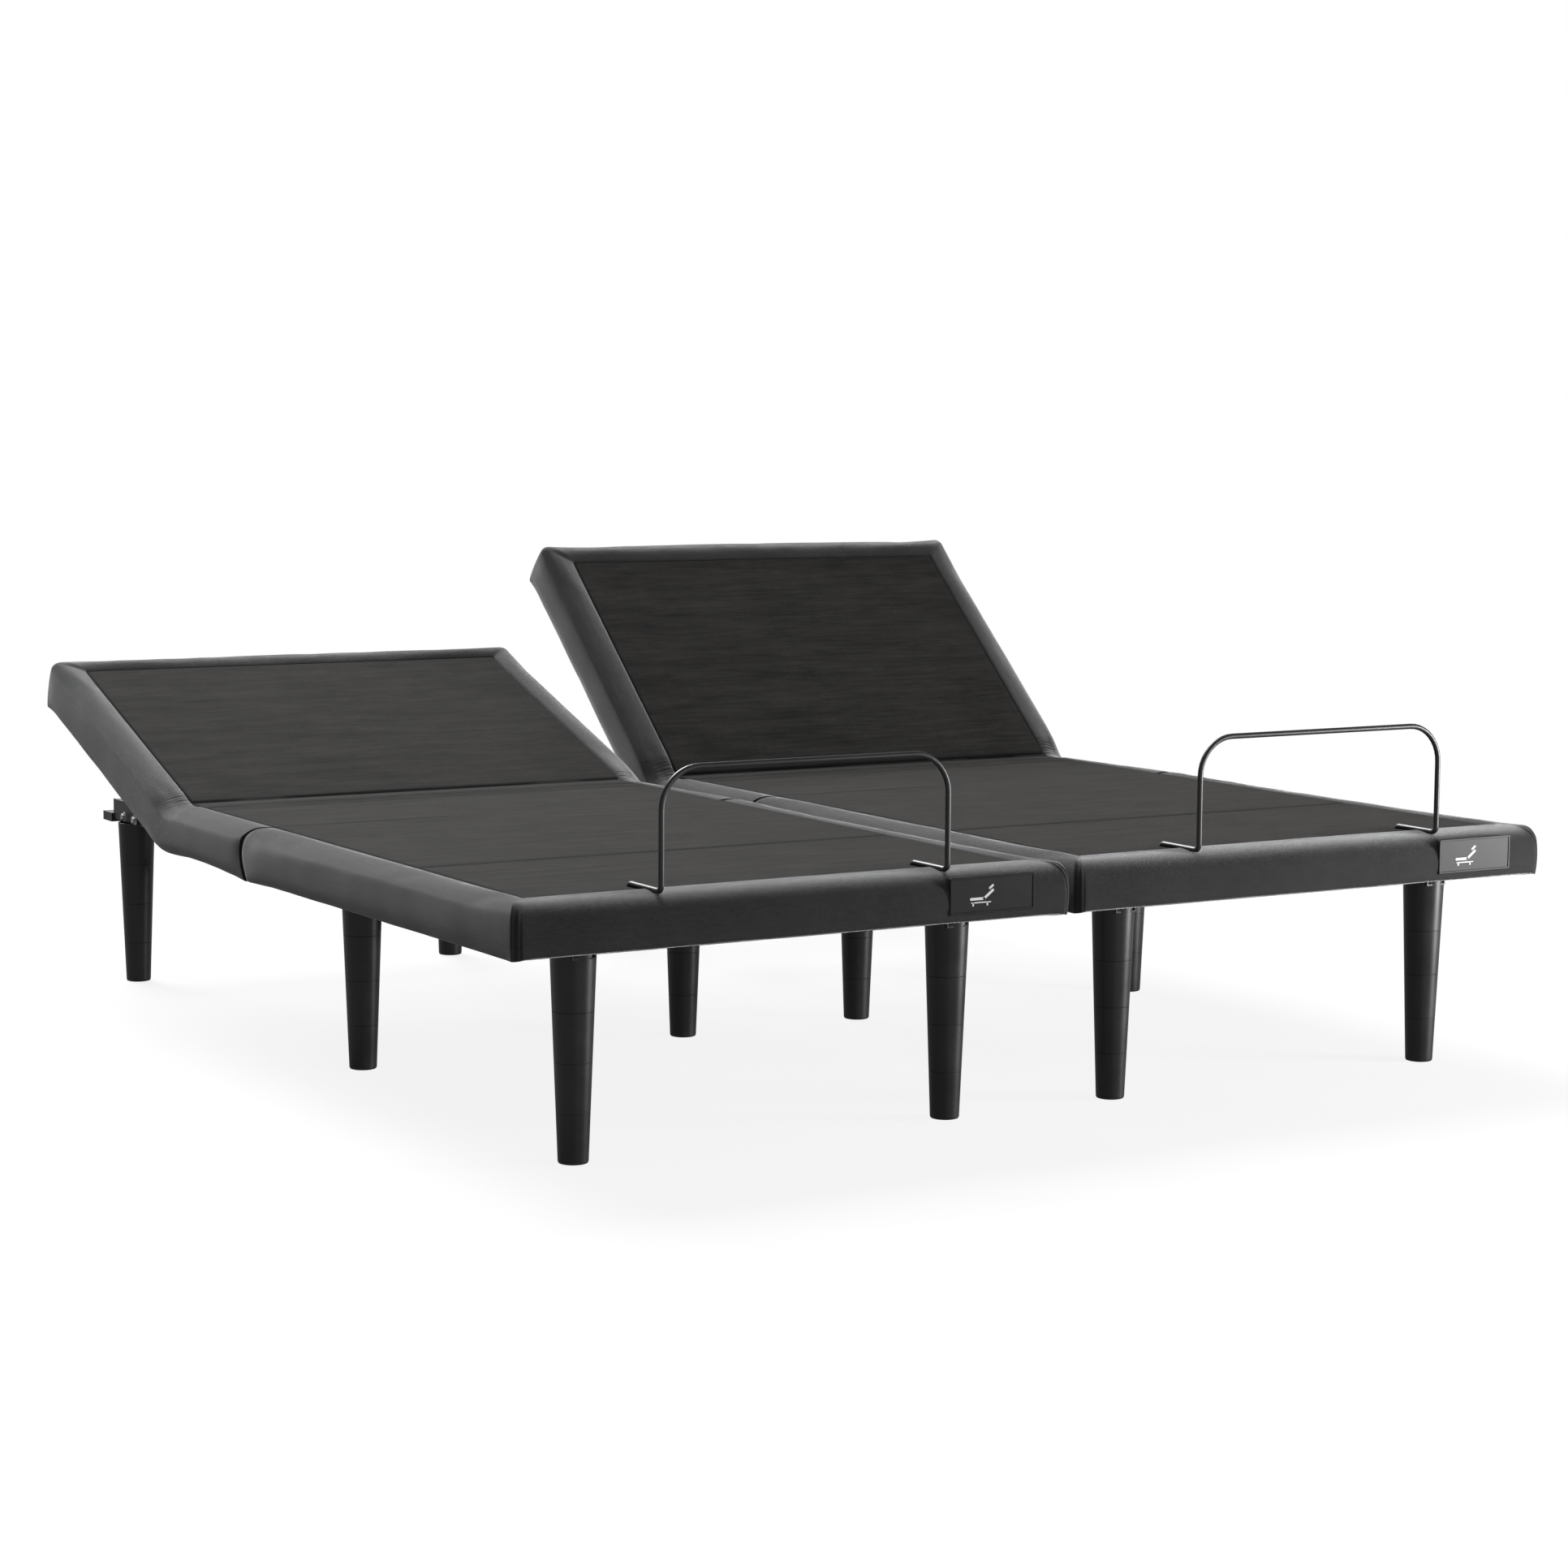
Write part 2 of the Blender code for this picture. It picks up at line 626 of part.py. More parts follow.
def control_box_mesh():
    """A flat case with a mains inlet and two motor sockets in its head-side wall."""
    low, high = CONTROL_BOX
    bm = block_bmesh(low, high)
    bmesh.ops.bevel(bm, geom=bm.edges[:], offset=0.004, segments=1, affect="EDGES")
    wall = high[1]
    middle_z = (low[2] + high[2]) / 2
    cuts = []
    for x, half_width, half_height in SOCKETS:
        start = (x - half_width, wall - SOCKET_DEPTH, middle_z - half_height)
        cuts.append(block(start, (x + half_width, wall + SOCKET_DEPTH, middle_z + half_height)))
    return fused([as_object("case", bm)], cuts)


def tie_plate_mesh():
    width, depth, thickness = TIE_PLATE_SIZE
    low = (-width / 2, -depth / 2, -thickness)
    return fused([block(low, (width / 2, depth / 2, 0))])


# ---- materials and placing ----

FINISHES = {
    "border_fabric": ((0.062, 0.063, 0.068), 0.95, 0.0),
    "plywood": ((0.30, 0.22, 0.14), 0.70, 0.0),
    "black_steel": ((0.022, 0.022, 0.023), 0.45, 0.6),
    "zinc_steel": ((0.45, 0.45, 0.46), 0.35, 1.0),
    "leg_plastic": ((0.018, 0.018, 0.019), 0.40, 0.0),
    "motor_plastic": ((0.030, 0.030, 0.032), 0.50, 0.0),
    "plaque_plastic": ((0.020, 0.020, 0.022), 0.35, 0.0),
}


def finish(node, kind):
    colour, roughness, metallic = FINISHES[kind]
    material = bpy.data.materials.new(f"{node}_{kind}")
    material.use_nodes = True
    shader = material.node_tree.nodes["Principled BSDF"]
    shader.inputs["Base Color"].default_value = (*colour, 1)
    shader.inputs["Roughness"].default_value = roughness
    shader.inputs["Metallic"].default_value = metallic
    return material


def empty(name, parent, place, turn=0.0):
    """An empty on a joint's axis. turn is in degrees about +x."""
    axis = bpy.data.objects.new(name, None)
    axis.parent = parent
    axis.location = place
    axis.rotation_euler = (math.radians(turn), 0, 0)
    PARTS.objects.link(axis)
    return axis


def piece(name, mesh, kind, parent=None, place=(0, 0, 0), half_turn=False):
    node = bpy.data.objects.new(name, mesh.copy())
    node.data.materials.clear()
    node.data.materials.append(finish(name, kind))
    node.data.shade_smooth()
    node.data.set_sharp_from_angle(angle=math.radians(30))
    node.parent = parent
    node.location = place
    if half_turn:
        node.rotation_euler = (0, 0, math.pi)
    PARTS.objects.link(node)


def shared_meshes():
    low = -HINGE_HALF_GAP
    return {
        "chassis": chassis_mesh(),
        "leg": leg_mesh(),
        "pin": pin_mesh(),
        "seat_board": seat_board_mesh(),
        "head_board": head_board_mesh(),
        "thigh_board": thigh_board_mesh(),
        "foot_board": foot_board_mesh(),
        "seat_cover": cover_mesh(Y_SPLIT - Y_HEAD_HINGE + HINGE_HALF_GAP, low),
        "head_cover": cover_mesh(HINGE_HALF_GAP, HEAD_LENGTH, closed="high"),
        "thigh_cover": cover_mesh(-THIGH_LENGTH + HINGE_HALF_GAP, low, notched="low"),
        "foot_cover": cover_mesh(-Y_KNEE, low, closed="low", notched="high", holes=bar_holes()),
        "head_lift": lift_mesh(1, -MOTOR_X, HEAD_LEVER_MID),
        "leg_lift": lift_mesh(-1, MOTOR_X, LEG_LEVER_MID),
        "motor": motor_mesh(),
        "rod": rod_mesh(),
        "foot_link": link_mesh(),
        "retainer_bar": retainer_mesh(),
        "plaque": plaque_mesh(),
        "headboard_bar": headboard_bar_mesh(),
        "control_box": control_box_mesh(),
    }


def place_base(side, x, meshes):
    """All the pieces of one base, its head section raised to its rest angle."""
    bed = empty(f"{side}_bed", None, (x, FOOT_END, 0))
    tilt = HEAD_REST[side]
    seat = empty(f"{side}_seat_frame", bed, (0, Y_HEAD_HINGE, AXIS_Z))
    head = empty(f"{side}_head_axis", bed, (0, Y_HEAD_HINGE, AXIS_Z), tilt)
    thigh = empty(f"{side}_thigh_axis", bed, (0, Y_SPLIT, AXIS_Z))
    knee = empty(f"{side}_knee_axis", thigh, (0, -THIGH_LENGTH, 0))
    head_lift = empty(f"{side}_head_lift_axis", bed, (0, HEAD_LIFT_Y, LIFT_Z), tilt * HEAD_LIFT_RATIO)
    leg_lift = empty(f"{side}_leg_lift_axis", bed, (0, LEG_LIFT_Y, LIFT_Z))
    link_y, link_z = LINK_PIVOT
    link_rise = AXIS_Z + LINK_LUG[1] - link_z
    link_run = link_y - (Y_KNEE + LINK_LUG[0])
    link_turn = -math.degrees(math.atan2(link_rise, link_run))
    link = empty(f"{side}_foot_link_axis", bed, (0, link_y, link_z), link_turn)

    def add(node, mesh, kind, parent=bed, place=(0, 0, 0), half_turn=False):
        piece(f"{side}_{node}", meshes[mesh], kind, parent, place, half_turn)

    add("chassis", "chassis", "black_steel")
    for name, parent in (("seat", seat), ("head", head), ("thigh", thigh), ("foot", knee)):
        add(f"{name}_board", f"{name}_board", "plywood", parent)
        add(f"{name}_cover", f"{name}_cover", "border_fabric", parent)
    add("head_hinge_pin", "pin", "zinc_steel", seat)
    add("thigh_hinge_pin", "pin", "zinc_steel", bed, (0, Y_SPLIT, AXIS_Z))
    add("knee_hinge_pin", "pin", "zinc_steel", thigh, (0, -THIGH_LENGTH, 0))
    for end, (leg_x, leg_y) in LEG_PLACES.items():
        for hand, sign in (("left", -1), ("right", 1)):
            add(f"{end}_leg_{hand}", "leg", "leg_plastic", bed, (sign * leg_x, leg_y, 0))
    add("head_lift", "head_lift", "black_steel", head_lift)
    add("leg_lift", "leg_lift", "black_steel", leg_lift)
    add("head_motor", "motor", "motor_plastic", bed, (-MOTOR_X, head_motor_tail(), rod_z(HEAD_LEVER_MID)))
    leg_tail = (MOTOR_X, leg_motor_tail(), rod_z(LEG_LEVER_MID))
    add("leg_motor", "motor", "motor_plastic", bed, leg_tail, half_turn=True)
    head_pin = HEAD_LIFT_Y + lever_swing(HEAD_LEVER_MID) * (2 * tilt / HEAD_MAX - 1)
    add("head_rod", "rod", "zinc_steel", bed, (-MOTOR_X, head_pin, rod_z(HEAD_LEVER_MID)))
    leg_pin = LEG_LIFT_Y + lever_swing(LEG_LEVER_MID)
    add("leg_rod", "rod", "zinc_steel", bed, (MOTOR_X, leg_pin, rod_z(LEG_LEVER_MID)), half_turn=True)
    add("foot_link", "foot_link", "black_steel", link)
    add("retainer_bar", "retainer_bar", "black_steel", knee)
    add("plaque", "plaque", "plaque_plastic", knee)
    add("headboard_bar", "headboard_bar", "black_steel")
    add("control_box", "control_box", "motor_plastic")


def place_tie_plates():
    mesh = tie_plate_mesh()
    for end, y in zip(("foot", "head"), TIE_PLATE_Y):
        piece(f"{end}_tie_plate", mesh, "zinc_steel", None, (0, FOOT_END + y, RAIL_LOW - GAP))


clear_scene()
PARTS = new_collection("adjustable_bed_base")
WORKSHOP = new_collection("workshop")
WORKSHOP.hide_render = True
MESHES = shared_meshes()
place_base("left", -BED_X, MESHES)
place_base("right", BED_X, MESHES)
place_tie_plates()
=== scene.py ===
"""The looks of the adjustable bed base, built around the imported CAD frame.

Each bed's upholstery is shaped flat, in the bed's own x and the frame's y and z, and the borders' cloth is
simulated there. It is then moved to its bed, and the upper pieces are bent up with the head section.
Units are metres.
"""

import json
import math

import bmesh
import bpy
import numpy as np
from mathutils import Matrix, Vector, noise


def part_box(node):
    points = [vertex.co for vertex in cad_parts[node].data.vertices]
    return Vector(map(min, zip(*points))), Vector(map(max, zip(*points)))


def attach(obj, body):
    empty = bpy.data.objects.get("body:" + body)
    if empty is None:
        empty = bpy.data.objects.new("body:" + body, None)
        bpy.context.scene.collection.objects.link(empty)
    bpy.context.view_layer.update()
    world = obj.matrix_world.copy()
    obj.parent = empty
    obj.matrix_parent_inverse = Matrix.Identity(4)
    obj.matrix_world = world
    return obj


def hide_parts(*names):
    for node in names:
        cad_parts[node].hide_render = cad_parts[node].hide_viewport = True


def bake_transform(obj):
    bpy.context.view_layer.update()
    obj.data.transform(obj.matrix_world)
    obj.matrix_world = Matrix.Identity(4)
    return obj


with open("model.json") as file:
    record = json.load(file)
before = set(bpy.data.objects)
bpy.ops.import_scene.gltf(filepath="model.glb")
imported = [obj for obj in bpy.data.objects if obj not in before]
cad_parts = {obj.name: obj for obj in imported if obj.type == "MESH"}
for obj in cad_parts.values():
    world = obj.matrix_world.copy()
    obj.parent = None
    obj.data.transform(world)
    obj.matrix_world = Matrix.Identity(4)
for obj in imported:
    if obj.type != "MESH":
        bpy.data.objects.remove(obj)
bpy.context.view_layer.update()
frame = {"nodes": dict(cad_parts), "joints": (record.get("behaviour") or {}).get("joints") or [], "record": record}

# ---- places, from the frame ----

SIDES = ("left", "right")
NODES = frame["nodes"]
JOINTS = {joint["name"]: joint for joint in frame["joints"]}


def pivot(joint):
    return Vector(JOINTS[joint]["pos_m"])


def flat_top_y(node, hinge, tilt):
    """The far end of a tilted node once it is turned back flat about its hinge."""
    back = Matrix.Rotation(-tilt, 3, "X")
    return max((back @ (vertex.co - hinge)).y for vertex in NODES[node].data.vertices) + hinge.y


BED_X = {side: pivot(f"{side}_head_hinge").x for side in SIDES}
TILT = {side: -math.radians(JOINTS[f"{side}_head_hinge"]["range_deg"][0]) for side in SIDES}
HEAD_HINGE = pivot("left_head_hinge")
SPLIT_Y = pivot("left_thigh_hinge").y
KNEE = pivot("left_knee_hinge")
SEAT_LOW, SEAT_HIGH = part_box("left_seat_cover")
HALF_WIDTH = (SEAT_HIGH.x - SEAT_LOW.x) / 2
DECK_TOP = SEAT_HIGH.z
BORDER_DEPTH = SEAT_HIGH.z - SEAT_LOW.z
FOOT_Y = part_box("left_foot_cover")[0].y
FOOT_INNER_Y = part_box("left_foot_board")[0].y
HEAD_Y = flat_top_y("left_head_cover", HEAD_HINGE, TILT["left"])
HEAD_INNER_Y = flat_top_y("left_head_board", HEAD_HINGE, TILT["left"])
BOARD_CLEARANCE = 0.0005
SIDE_INNER_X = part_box("left_seat_board")[1].x - BED_X["left"] + BOARD_CLEARANCE
BRACKET_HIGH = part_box("left_headboard_bar")[1]
BRACKET_CLEARANCE = (0.028, 0.004)
NOTCH_RUN = 0.024
NOTCH_X = BRACKET_HIGH.x - BED_X["left"] + BRACKET_CLEARANCE[0]
NOTCH_Z = BRACKET_HIGH.z + BRACKET_CLEARANCE[1]

# ---- upholstery sizes ----

SIDE_SHOULDER = (0.023, 0.023)
FOOT_SHOULDER = (0.050, 0.036)
HEAD_SHOULDER = (0.014, 0.013)
HEAD_SIDE_SHOULDER = (0.015, 0.014)
HEAD_SIDE_RUN = 0.100
HEAD_PROUD = 0.008
HEAD_CROWN = 0.0035
HEAD_DROP = 0.007
HEAD_DROP_RUN = 0.060
BOTTOM_ROUND = 0.004
BOTTOM_DROP = 0.0045
# painted shade in the border cloth's base colour: along the lower edge and underside, in the tucked top edge and
# at the open ends
LOWER_EDGE_SHADE = 0.85
TUCK_SHADE = 0.45
END_SHADE = 0.6
SIDE_DROP = 0.0035
SIDE_SAG = 0.006
CORNER_OUT = 0.015
CORNER_IN = 0.003
CORNER_STEPS = 16
CORNER_GROOVES = (-0.0066, 0.0, 0.0066)
GROOVE_DEPTH = 0.0009
GROOVE_WIDTH = 0.0012
# painted shade in the corner grooves
GROOVE_SHADE = 0.6
RIDGE_HEIGHT = 0.0006
RIDGE_WIDTH = 0.0016
MITRE_RUN = 0.120
TUCK = 0.006
COARSE_STEP = 0.012
FINE_STEP = 0.0022
FINE_REACH = 0.070
CROWN = 0.0008
SPLIT_BULGE = 0.024
SPLIT_LOW_BULGE = 0.010
SPLIT_FADE = 0.055
TOP_REACH = 0.050
BOTTOM_REACH = 0.110
PANEL_REACH = 0.009
STAPLE_PITCH = 0.140
SWELL_FRAMES = 20
SWELL_CAP = 0.0040
FOAM_REACH = 0.022
LOWER_EDGE_WAVE = 0.0012
FACE_WAVE = 0.0006
CORNER_DIP = 0.0040
CORNER_DIP_REACH = 0.020

# ---- small parts ----

BAR_RADIUS = 0.0045
BAR_CORNER = 0.062
BAR_BEND = 0.009
BAR_ABOVE_DECK = 0.0045
SEGMENT = 0.0762
LEG_DISC = 0.0038


# ---- materials ----


def new_material(name):
    """A material with its node tree and its shader."""
    material = bpy.data.materials.new(name)
    material.use_nodes = True
    tree = material.node_tree
    return material, tree, tree.nodes["Principled BSDF"]


def feed(tree, socket, value):
    """Links an output to a socket, or sets the socket to a constant."""
    if isinstance(value, bpy.types.NodeSocket):
        tree.links.new(value, socket)
    else:
        socket.default_value = value


def feed_shader(shader, **inputs):
    """Feeds a shader's inputs, named with underscores for spaces."""
    for name, value in inputs.items():
        feed(shader.id_data, shader.inputs[name.replace("_", " ")], value)


def math_node(tree, operation, *values):
    node = tree.nodes.new("ShaderNodeMath")
    node.operation = operation
    for socket, value in zip(node.inputs, values):
        feed(tree, socket, value)
    return node.outputs[0]


def object_place(tree):
    return tree.nodes.new("ShaderNodeTexCoord").outputs["Object"]


def mapped(tree, coordinates, scale):
    """Texture coordinates stretched by a scale for each axis."""
    node = tree.nodes.new("ShaderNodeMapping")
    node.inputs["Scale"].default_value = scale
    tree.links.new(coordinates, node.inputs["Vector"])
    return node.outputs[0]


def noise_value(tree, vector, scale, detail, roughness):
    node = tree.nodes.new("ShaderNodeTexNoise")
    node.inputs["Scale"].default_value = scale
    node.inputs["Detail"].default_value = detail
    node.inputs["Roughness"].default_value = roughness
    tree.links.new(vector, node.inputs["Vector"])
    return node.outputs["Fac"]


def ramp(tree, factor, stops):
    """A colour ramp from (position, colour) stops."""
    node = tree.nodes.new("ShaderNodeValToRGB")
    elements = node.color_ramp.elements
    while len(elements) < len(stops):
        elements.new(0.5)
    for element, (position, colour) in zip(elements, stops):
        element.position = position
        element.color = (*colour, 1)
    tree.links.new(factor, node.inputs["Fac"])
    return node.outputs["Color"]


def mixed(tree, factor, first, second):
    """A colour between two others."""
    node = tree.nodes.new("ShaderNodeMix")
    node.data_type = "RGBA"
    for index, value in ((0, factor), (6, first), (7, second)):
        feed(tree, node.inputs[index], value)
    return node.outputs[2]


def bump(tree, shader, height, strength, distance):
    node = tree.nodes.new("ShaderNodeBump")
    node.inputs["Strength"].default_value = strength
    node.inputs["Distance"].default_value = distance
    tree.links.new(height, node.inputs["Height"])
    tree.links.new(node.outputs["Normal"], shader.inputs["Normal"])


def thread_height(tree, vector, pitch):
    """A plain weave: rounded threads that pass over and under each other on a square grid."""
    scaled = mapped(tree, vector, (math.pi / pitch, math.pi / pitch, 1))
    split = tree.nodes.new("ShaderNodeSeparateXYZ")
    tree.links.new(scaled, split.inputs[0])
    sines = [math_node(tree, "SINE", split.outputs[axis]) for axis in (0, 1)]
    across, along = [math_node(tree, "ABSOLUTE", sine) for sine in sines]
    checker = tree.nodes.new("ShaderNodeTexChecker")
    checker.inputs["Scale"].default_value = 1 / math.pi
    tree.links.new(scaled, checker.inputs["Vector"])
    over = checker.outputs["Fac"]
    under = math_node(tree, "SUBTRACT", 1.0, over)
    first = math_node(tree, "MULTIPLY", across, over)
    second = math_node(tree, "MULTIPLY", along, under)
    return math_node(tree, "ADD", first, second)


def summed(tree, parts):
    """One half plus each value's distance from one half, times its weight."""
    total = None
    for value, weight in parts:
        shifted = math_node(tree, "MULTIPLY_ADD", value, weight, -0.5 * weight)
        total = math_node(tree, "ADD", shifted, 0.5 if total is None else total)
    return total


def woven(name, dark, light, pitch, slubs, weights, sheen, sheen_tint, specular, painted_shade_colour):
    """Woven cloth on a UV map in metres.

    slubs is the length and width of its thicker threads. weights says how much its tone changes with them,
    their broader bands, the threads across them, the flecks, the cloudy wear and the weave.
    """
    material, tree, shader = new_material(name)
    uv = tree.nodes.new("ShaderNodeUVMap")
    uv.uv_map = "cloth"
    vector = uv.outputs["UV"]
    weave = thread_height(tree, vector, pitch)
    length, width = slubs
    slub = noise_value(tree, mapped(tree, vector, (1 / length, 1 / width, 1)), 1.0, 3.0, 0.6)
    cross_slub = noise_value(tree, mapped(tree, vector, (1 / width, 1 / length, 1)), 1.0, 3.0, 0.6)
    broad = noise_value(tree, mapped(tree, vector, (1 / (3 * length), 1 / (4 * width), 1)), 1.0, 2.0, 0.5)
    fleck = noise_value(tree, vector, 380.0, 2.0, 0.7)
    cloud = noise_value(tree, vector, 7.0, 4.0, 0.6)
    tone = summed(tree, list(zip((slub, broad, cross_slub, fleck, cloud, weave), weights)))
    colour = ramp(tree, tone, [(0.0, dark), (1.0, light)])
    # painted shade: the seam attribute darkens the base colour toward a near-black in grooves, in tucked edges and
    # along edges, where shade falls
    seam = tree.nodes.new("ShaderNodeAttribute")
    seam.attribute_name = "seam"
    feed_shader(
        shader,
        Base_Color=mixed(tree, seam.outputs["Fac"], colour, (*painted_shade_colour, 1)),
        Roughness=math_node(tree, "MULTIPLY_ADD", weave, -0.08, 0.92),
        Sheen_Weight=sheen,
        Sheen_Roughness=0.30,
        Sheen_Tint=(*sheen_tint, 1),
        Specular_IOR_Level=specular,
    )
    height = math_node(tree, "ADD", weave, math_node(tree, "MULTIPLY", slub, 0.8))
    bump(tree, shader, height, 0.6, 0.0004)
    return material


def moulded(name, dark, light, roughness, grain, specular):
    """Moulded plastic with a fine grain and slightly uneven gloss."""
    material, tree, shader = new_material(name)
    place = object_place(tree)
    cloud = noise_value(tree, place, 14.0, 4.0, 0.6)
    fine = noise_value(tree, place, grain, 2.0, 0.5)
    colour = ramp(tree, cloud, [(0.35, dark), (0.70, light)])
    gloss = math_node(tree, "MULTIPLY_ADD", cloud, 0.16, roughness - 0.08)
    feed_shader(shader, Base_Color=colour, Roughness=gloss, Specular_IOR_Level=specular)
    bump(tree, shader, fine, 0.25, 0.0002)
    return material


def powder_coat(name, dark, light, roughness):
    """Powder-coated steel: an orange-peel skin with dusty patches."""
    material, tree, shader = new_material(name)
    place = object_place(tree)
    peel = noise_value(tree, place, 900.0, 2.0, 0.5)
    dust = noise_value(tree, place, 6.0, 5.0, 0.65)
    colour = ramp(tree, dust, [(0.35, dark), (0.75, light)])
    gloss = math_node(tree, "MULTIPLY_ADD", dust, 0.22, roughness - 0.10)
    feed_shader(shader, Base_Color=colour, Roughness=gloss, Specular_IOR_Level=0.5)
    bump(tree, shader, peel, 0.30, 0.0003)
    return material


def plated_steel(name, dark, light, roughness):
    """Zinc-plated steel with fine draw marks and a cloudy finish."""
    material, tree, shader = new_material(name)
    place = object_place(tree)
    marks = noise_value(tree, mapped(tree, place, (40, 900, 900)), 1.0, 3.0, 0.6)
    cloud = noise_value(tree, place, 60.0, 4.0, 0.6)
    colour = ramp(tree, cloud, [(0.30, dark), (0.75, light)])
    gloss = math_node(tree, "MULTIPLY_ADD", marks, 0.20, roughness - 0.08)
    feed_shader(shader, Base_Color=colour, Roughness=gloss, Metallic=1.0)
    bump(tree, shader, marks, 0.15, 0.0002)
    return material


UNDERSIDE_NORMAL = -0.70


def plywood(name):
    """Plywood with a long face grain underneath, sealed black on its top and edges, under the cloth."""
    material, tree, shader = new_material(name)
    coordinate = tree.nodes.new("ShaderNodeTexCoord")
    place = coordinate.outputs["Object"]
    grain = noise_value(tree, mapped(tree, place, (3.0, 55.0, 8.0)), 1.6, 6.0, 0.62)
    pores = noise_value(tree, mapped(tree, place, (20.0, 600.0, 60.0)), 1.0, 2.0, 0.5)
    brown = [(0.28, (0.17, 0.105, 0.055)), (0.52, (0.33, 0.225, 0.130)), (0.75, (0.43, 0.31, 0.19))]
    black = [(0.28, (0.006, 0.006, 0.006)), (0.75, (0.012, 0.012, 0.012))]
    wood = ramp(tree, grain, brown)
    sealed = ramp(tree, grain, black)
    split = tree.nodes.new("ShaderNodeSeparateXYZ")
    tree.links.new(coordinate.outputs["Normal"], split.inputs[0])
    above = math_node(tree, "GREATER_THAN", split.outputs[2], UNDERSIDE_NORMAL)
    feed_shader(shader, Base_Color=mixed(tree, above, wood, sealed), Roughness=0.72)
    bump(tree, shader, math_node(tree, "ADD", grain, pores), 0.30, 0.0005)
    return material


def brushed_plate(name):
    """A dark plate with fine horizontal brushing."""
    material, tree, shader = new_material(name)
    place = object_place(tree)
    marks = noise_value(tree, mapped(tree, place, (30, 400, 2500)), 1.0, 2.0, 0.6)
    colour = ramp(tree, marks, [(0.30, (0.010, 0.010, 0.011)), (0.75, (0.019, 0.019, 0.020))])
    gloss = math_node(tree, "MULTIPLY_ADD", marks, 0.16, 0.32)
    feed_shader(shader, Base_Color=colour, Roughness=gloss, Specular_IOR_Level=0.15)
    bump(tree, shader, marks, 0.10, 0.0002)
    return material


def printed_mark(name):
    """Pale grey ink with a slight mottle."""
    material, tree, shader = new_material(name)
    place = object_place(tree)
    mottle = noise_value(tree, place, 300.0, 3.0, 0.6)
    colour = ramp(tree, mottle, [(0.3, (0.55, 0.55, 0.55)), (0.8, (0.72, 0.72, 0.72))])
    feed_shader(shader, Base_Color=colour, Roughness=0.5)
    bump(tree, shader, mottle, 0.10, 0.0001)
    return material


BORDER_CLOTH = woven(
    "border_cloth",
    dark=(0.008, 0.008, 0.0085),
    light=(0.031, 0.0315, 0.033),
    pitch=0.0016,
    slubs=(0.012, 0.0018),
    weights=(0.9, 0.4, 0.7, 0.9, 0.8, 0.25),
    sheen=0.88,
    sheen_tint=(0.99, 0.99, 1.0),
    specular=0.22,
    painted_shade_colour=(0.006, 0.006, 0.006),
)
PANEL_CLOTH = woven(
    "panel_cloth",
    dark=(0.0080, 0.0077, 0.0074),
    light=(0.0280, 0.0269, 0.0260),
    pitch=0.0022,
    slubs=(0.075, 0.0065),
    weights=(1.1, 0.9, 0.3, 0.5, 0.7, 0.2),
    sheen=0.04,
    sheen_tint=(1.0, 0.95, 0.89),
    specular=0.07,
    painted_shade_colour=(0.004, 0.004, 0.004),
)
LEG_PLASTIC = moulded("leg_plastic", (0.0105, 0.0105, 0.0108), (0.0175, 0.0175, 0.0179), 0.33, 1500.0, 0.45)
# near-black matte rings: their colour is painted shade where each bar goes into the deck, and the rings cover the
# holes' edges
EYELET_PAINTED_SHADE = moulded("eyelet_painted_shade", (0.005, 0.005, 0.005), (0.009, 0.009, 0.009), 0.75, 900.0, 0.08)
MOTOR_PLASTIC = moulded("motor_plastic", (0.020, 0.020, 0.022), (0.034, 0.034, 0.036), 0.50, 900.0, 0.4)
BLACK_STEEL = powder_coat("black_steel", (0.008, 0.008, 0.009), (0.020, 0.020, 0.021), 0.42)
BAR_STEEL = powder_coat("bar_steel", (0.012, 0.012, 0.013), (0.021, 0.021, 0.022), 0.38)
# a lighter copy of the black powder coat: painted light for the light the headboard brackets catch
BRACKET_STEEL_PAINTED_LIGHTER = powder_coat("bracket_steel_painted_lighter", (0.022, 0.022, 0.023), (0.050, 0.050, 0.052), 0.42)
ZINC = plated_steel("zinc_steel", (0.38, 0.38, 0.39), (0.62, 0.62, 0.63), 0.32)
PLYWOOD = plywood("plywood")
PLATE = brushed_plate("plaque_plate")
MARK = printed_mark("plaque_mark")

NODE_MATERIALS = {
    "black_steel": BLACK_STEEL,
    "zinc_steel": ZINC,
    "plywood": PLYWOOD,
    "motor_plastic": MOTOR_PLASTIC,
    "leg_plastic": LEG_PLASTIC,
    "plaque_plastic": PLATE,
    "border_fabric": BORDER_CLOTH,
}


# ---- mesh helpers ----


def put(name, data):
    """A new object in the scene."""
    obj = bpy.data.objects.new(name, data)
    bpy.context.scene.collection.objects.link(obj)
    return obj


def link(name, mesh, material):
    """A new smooth-shaded piece with one material."""
    obj = put(name, mesh)
    mesh.materials.clear()
    mesh.materials.append(material)
    mesh.shade_smooth()
    return obj


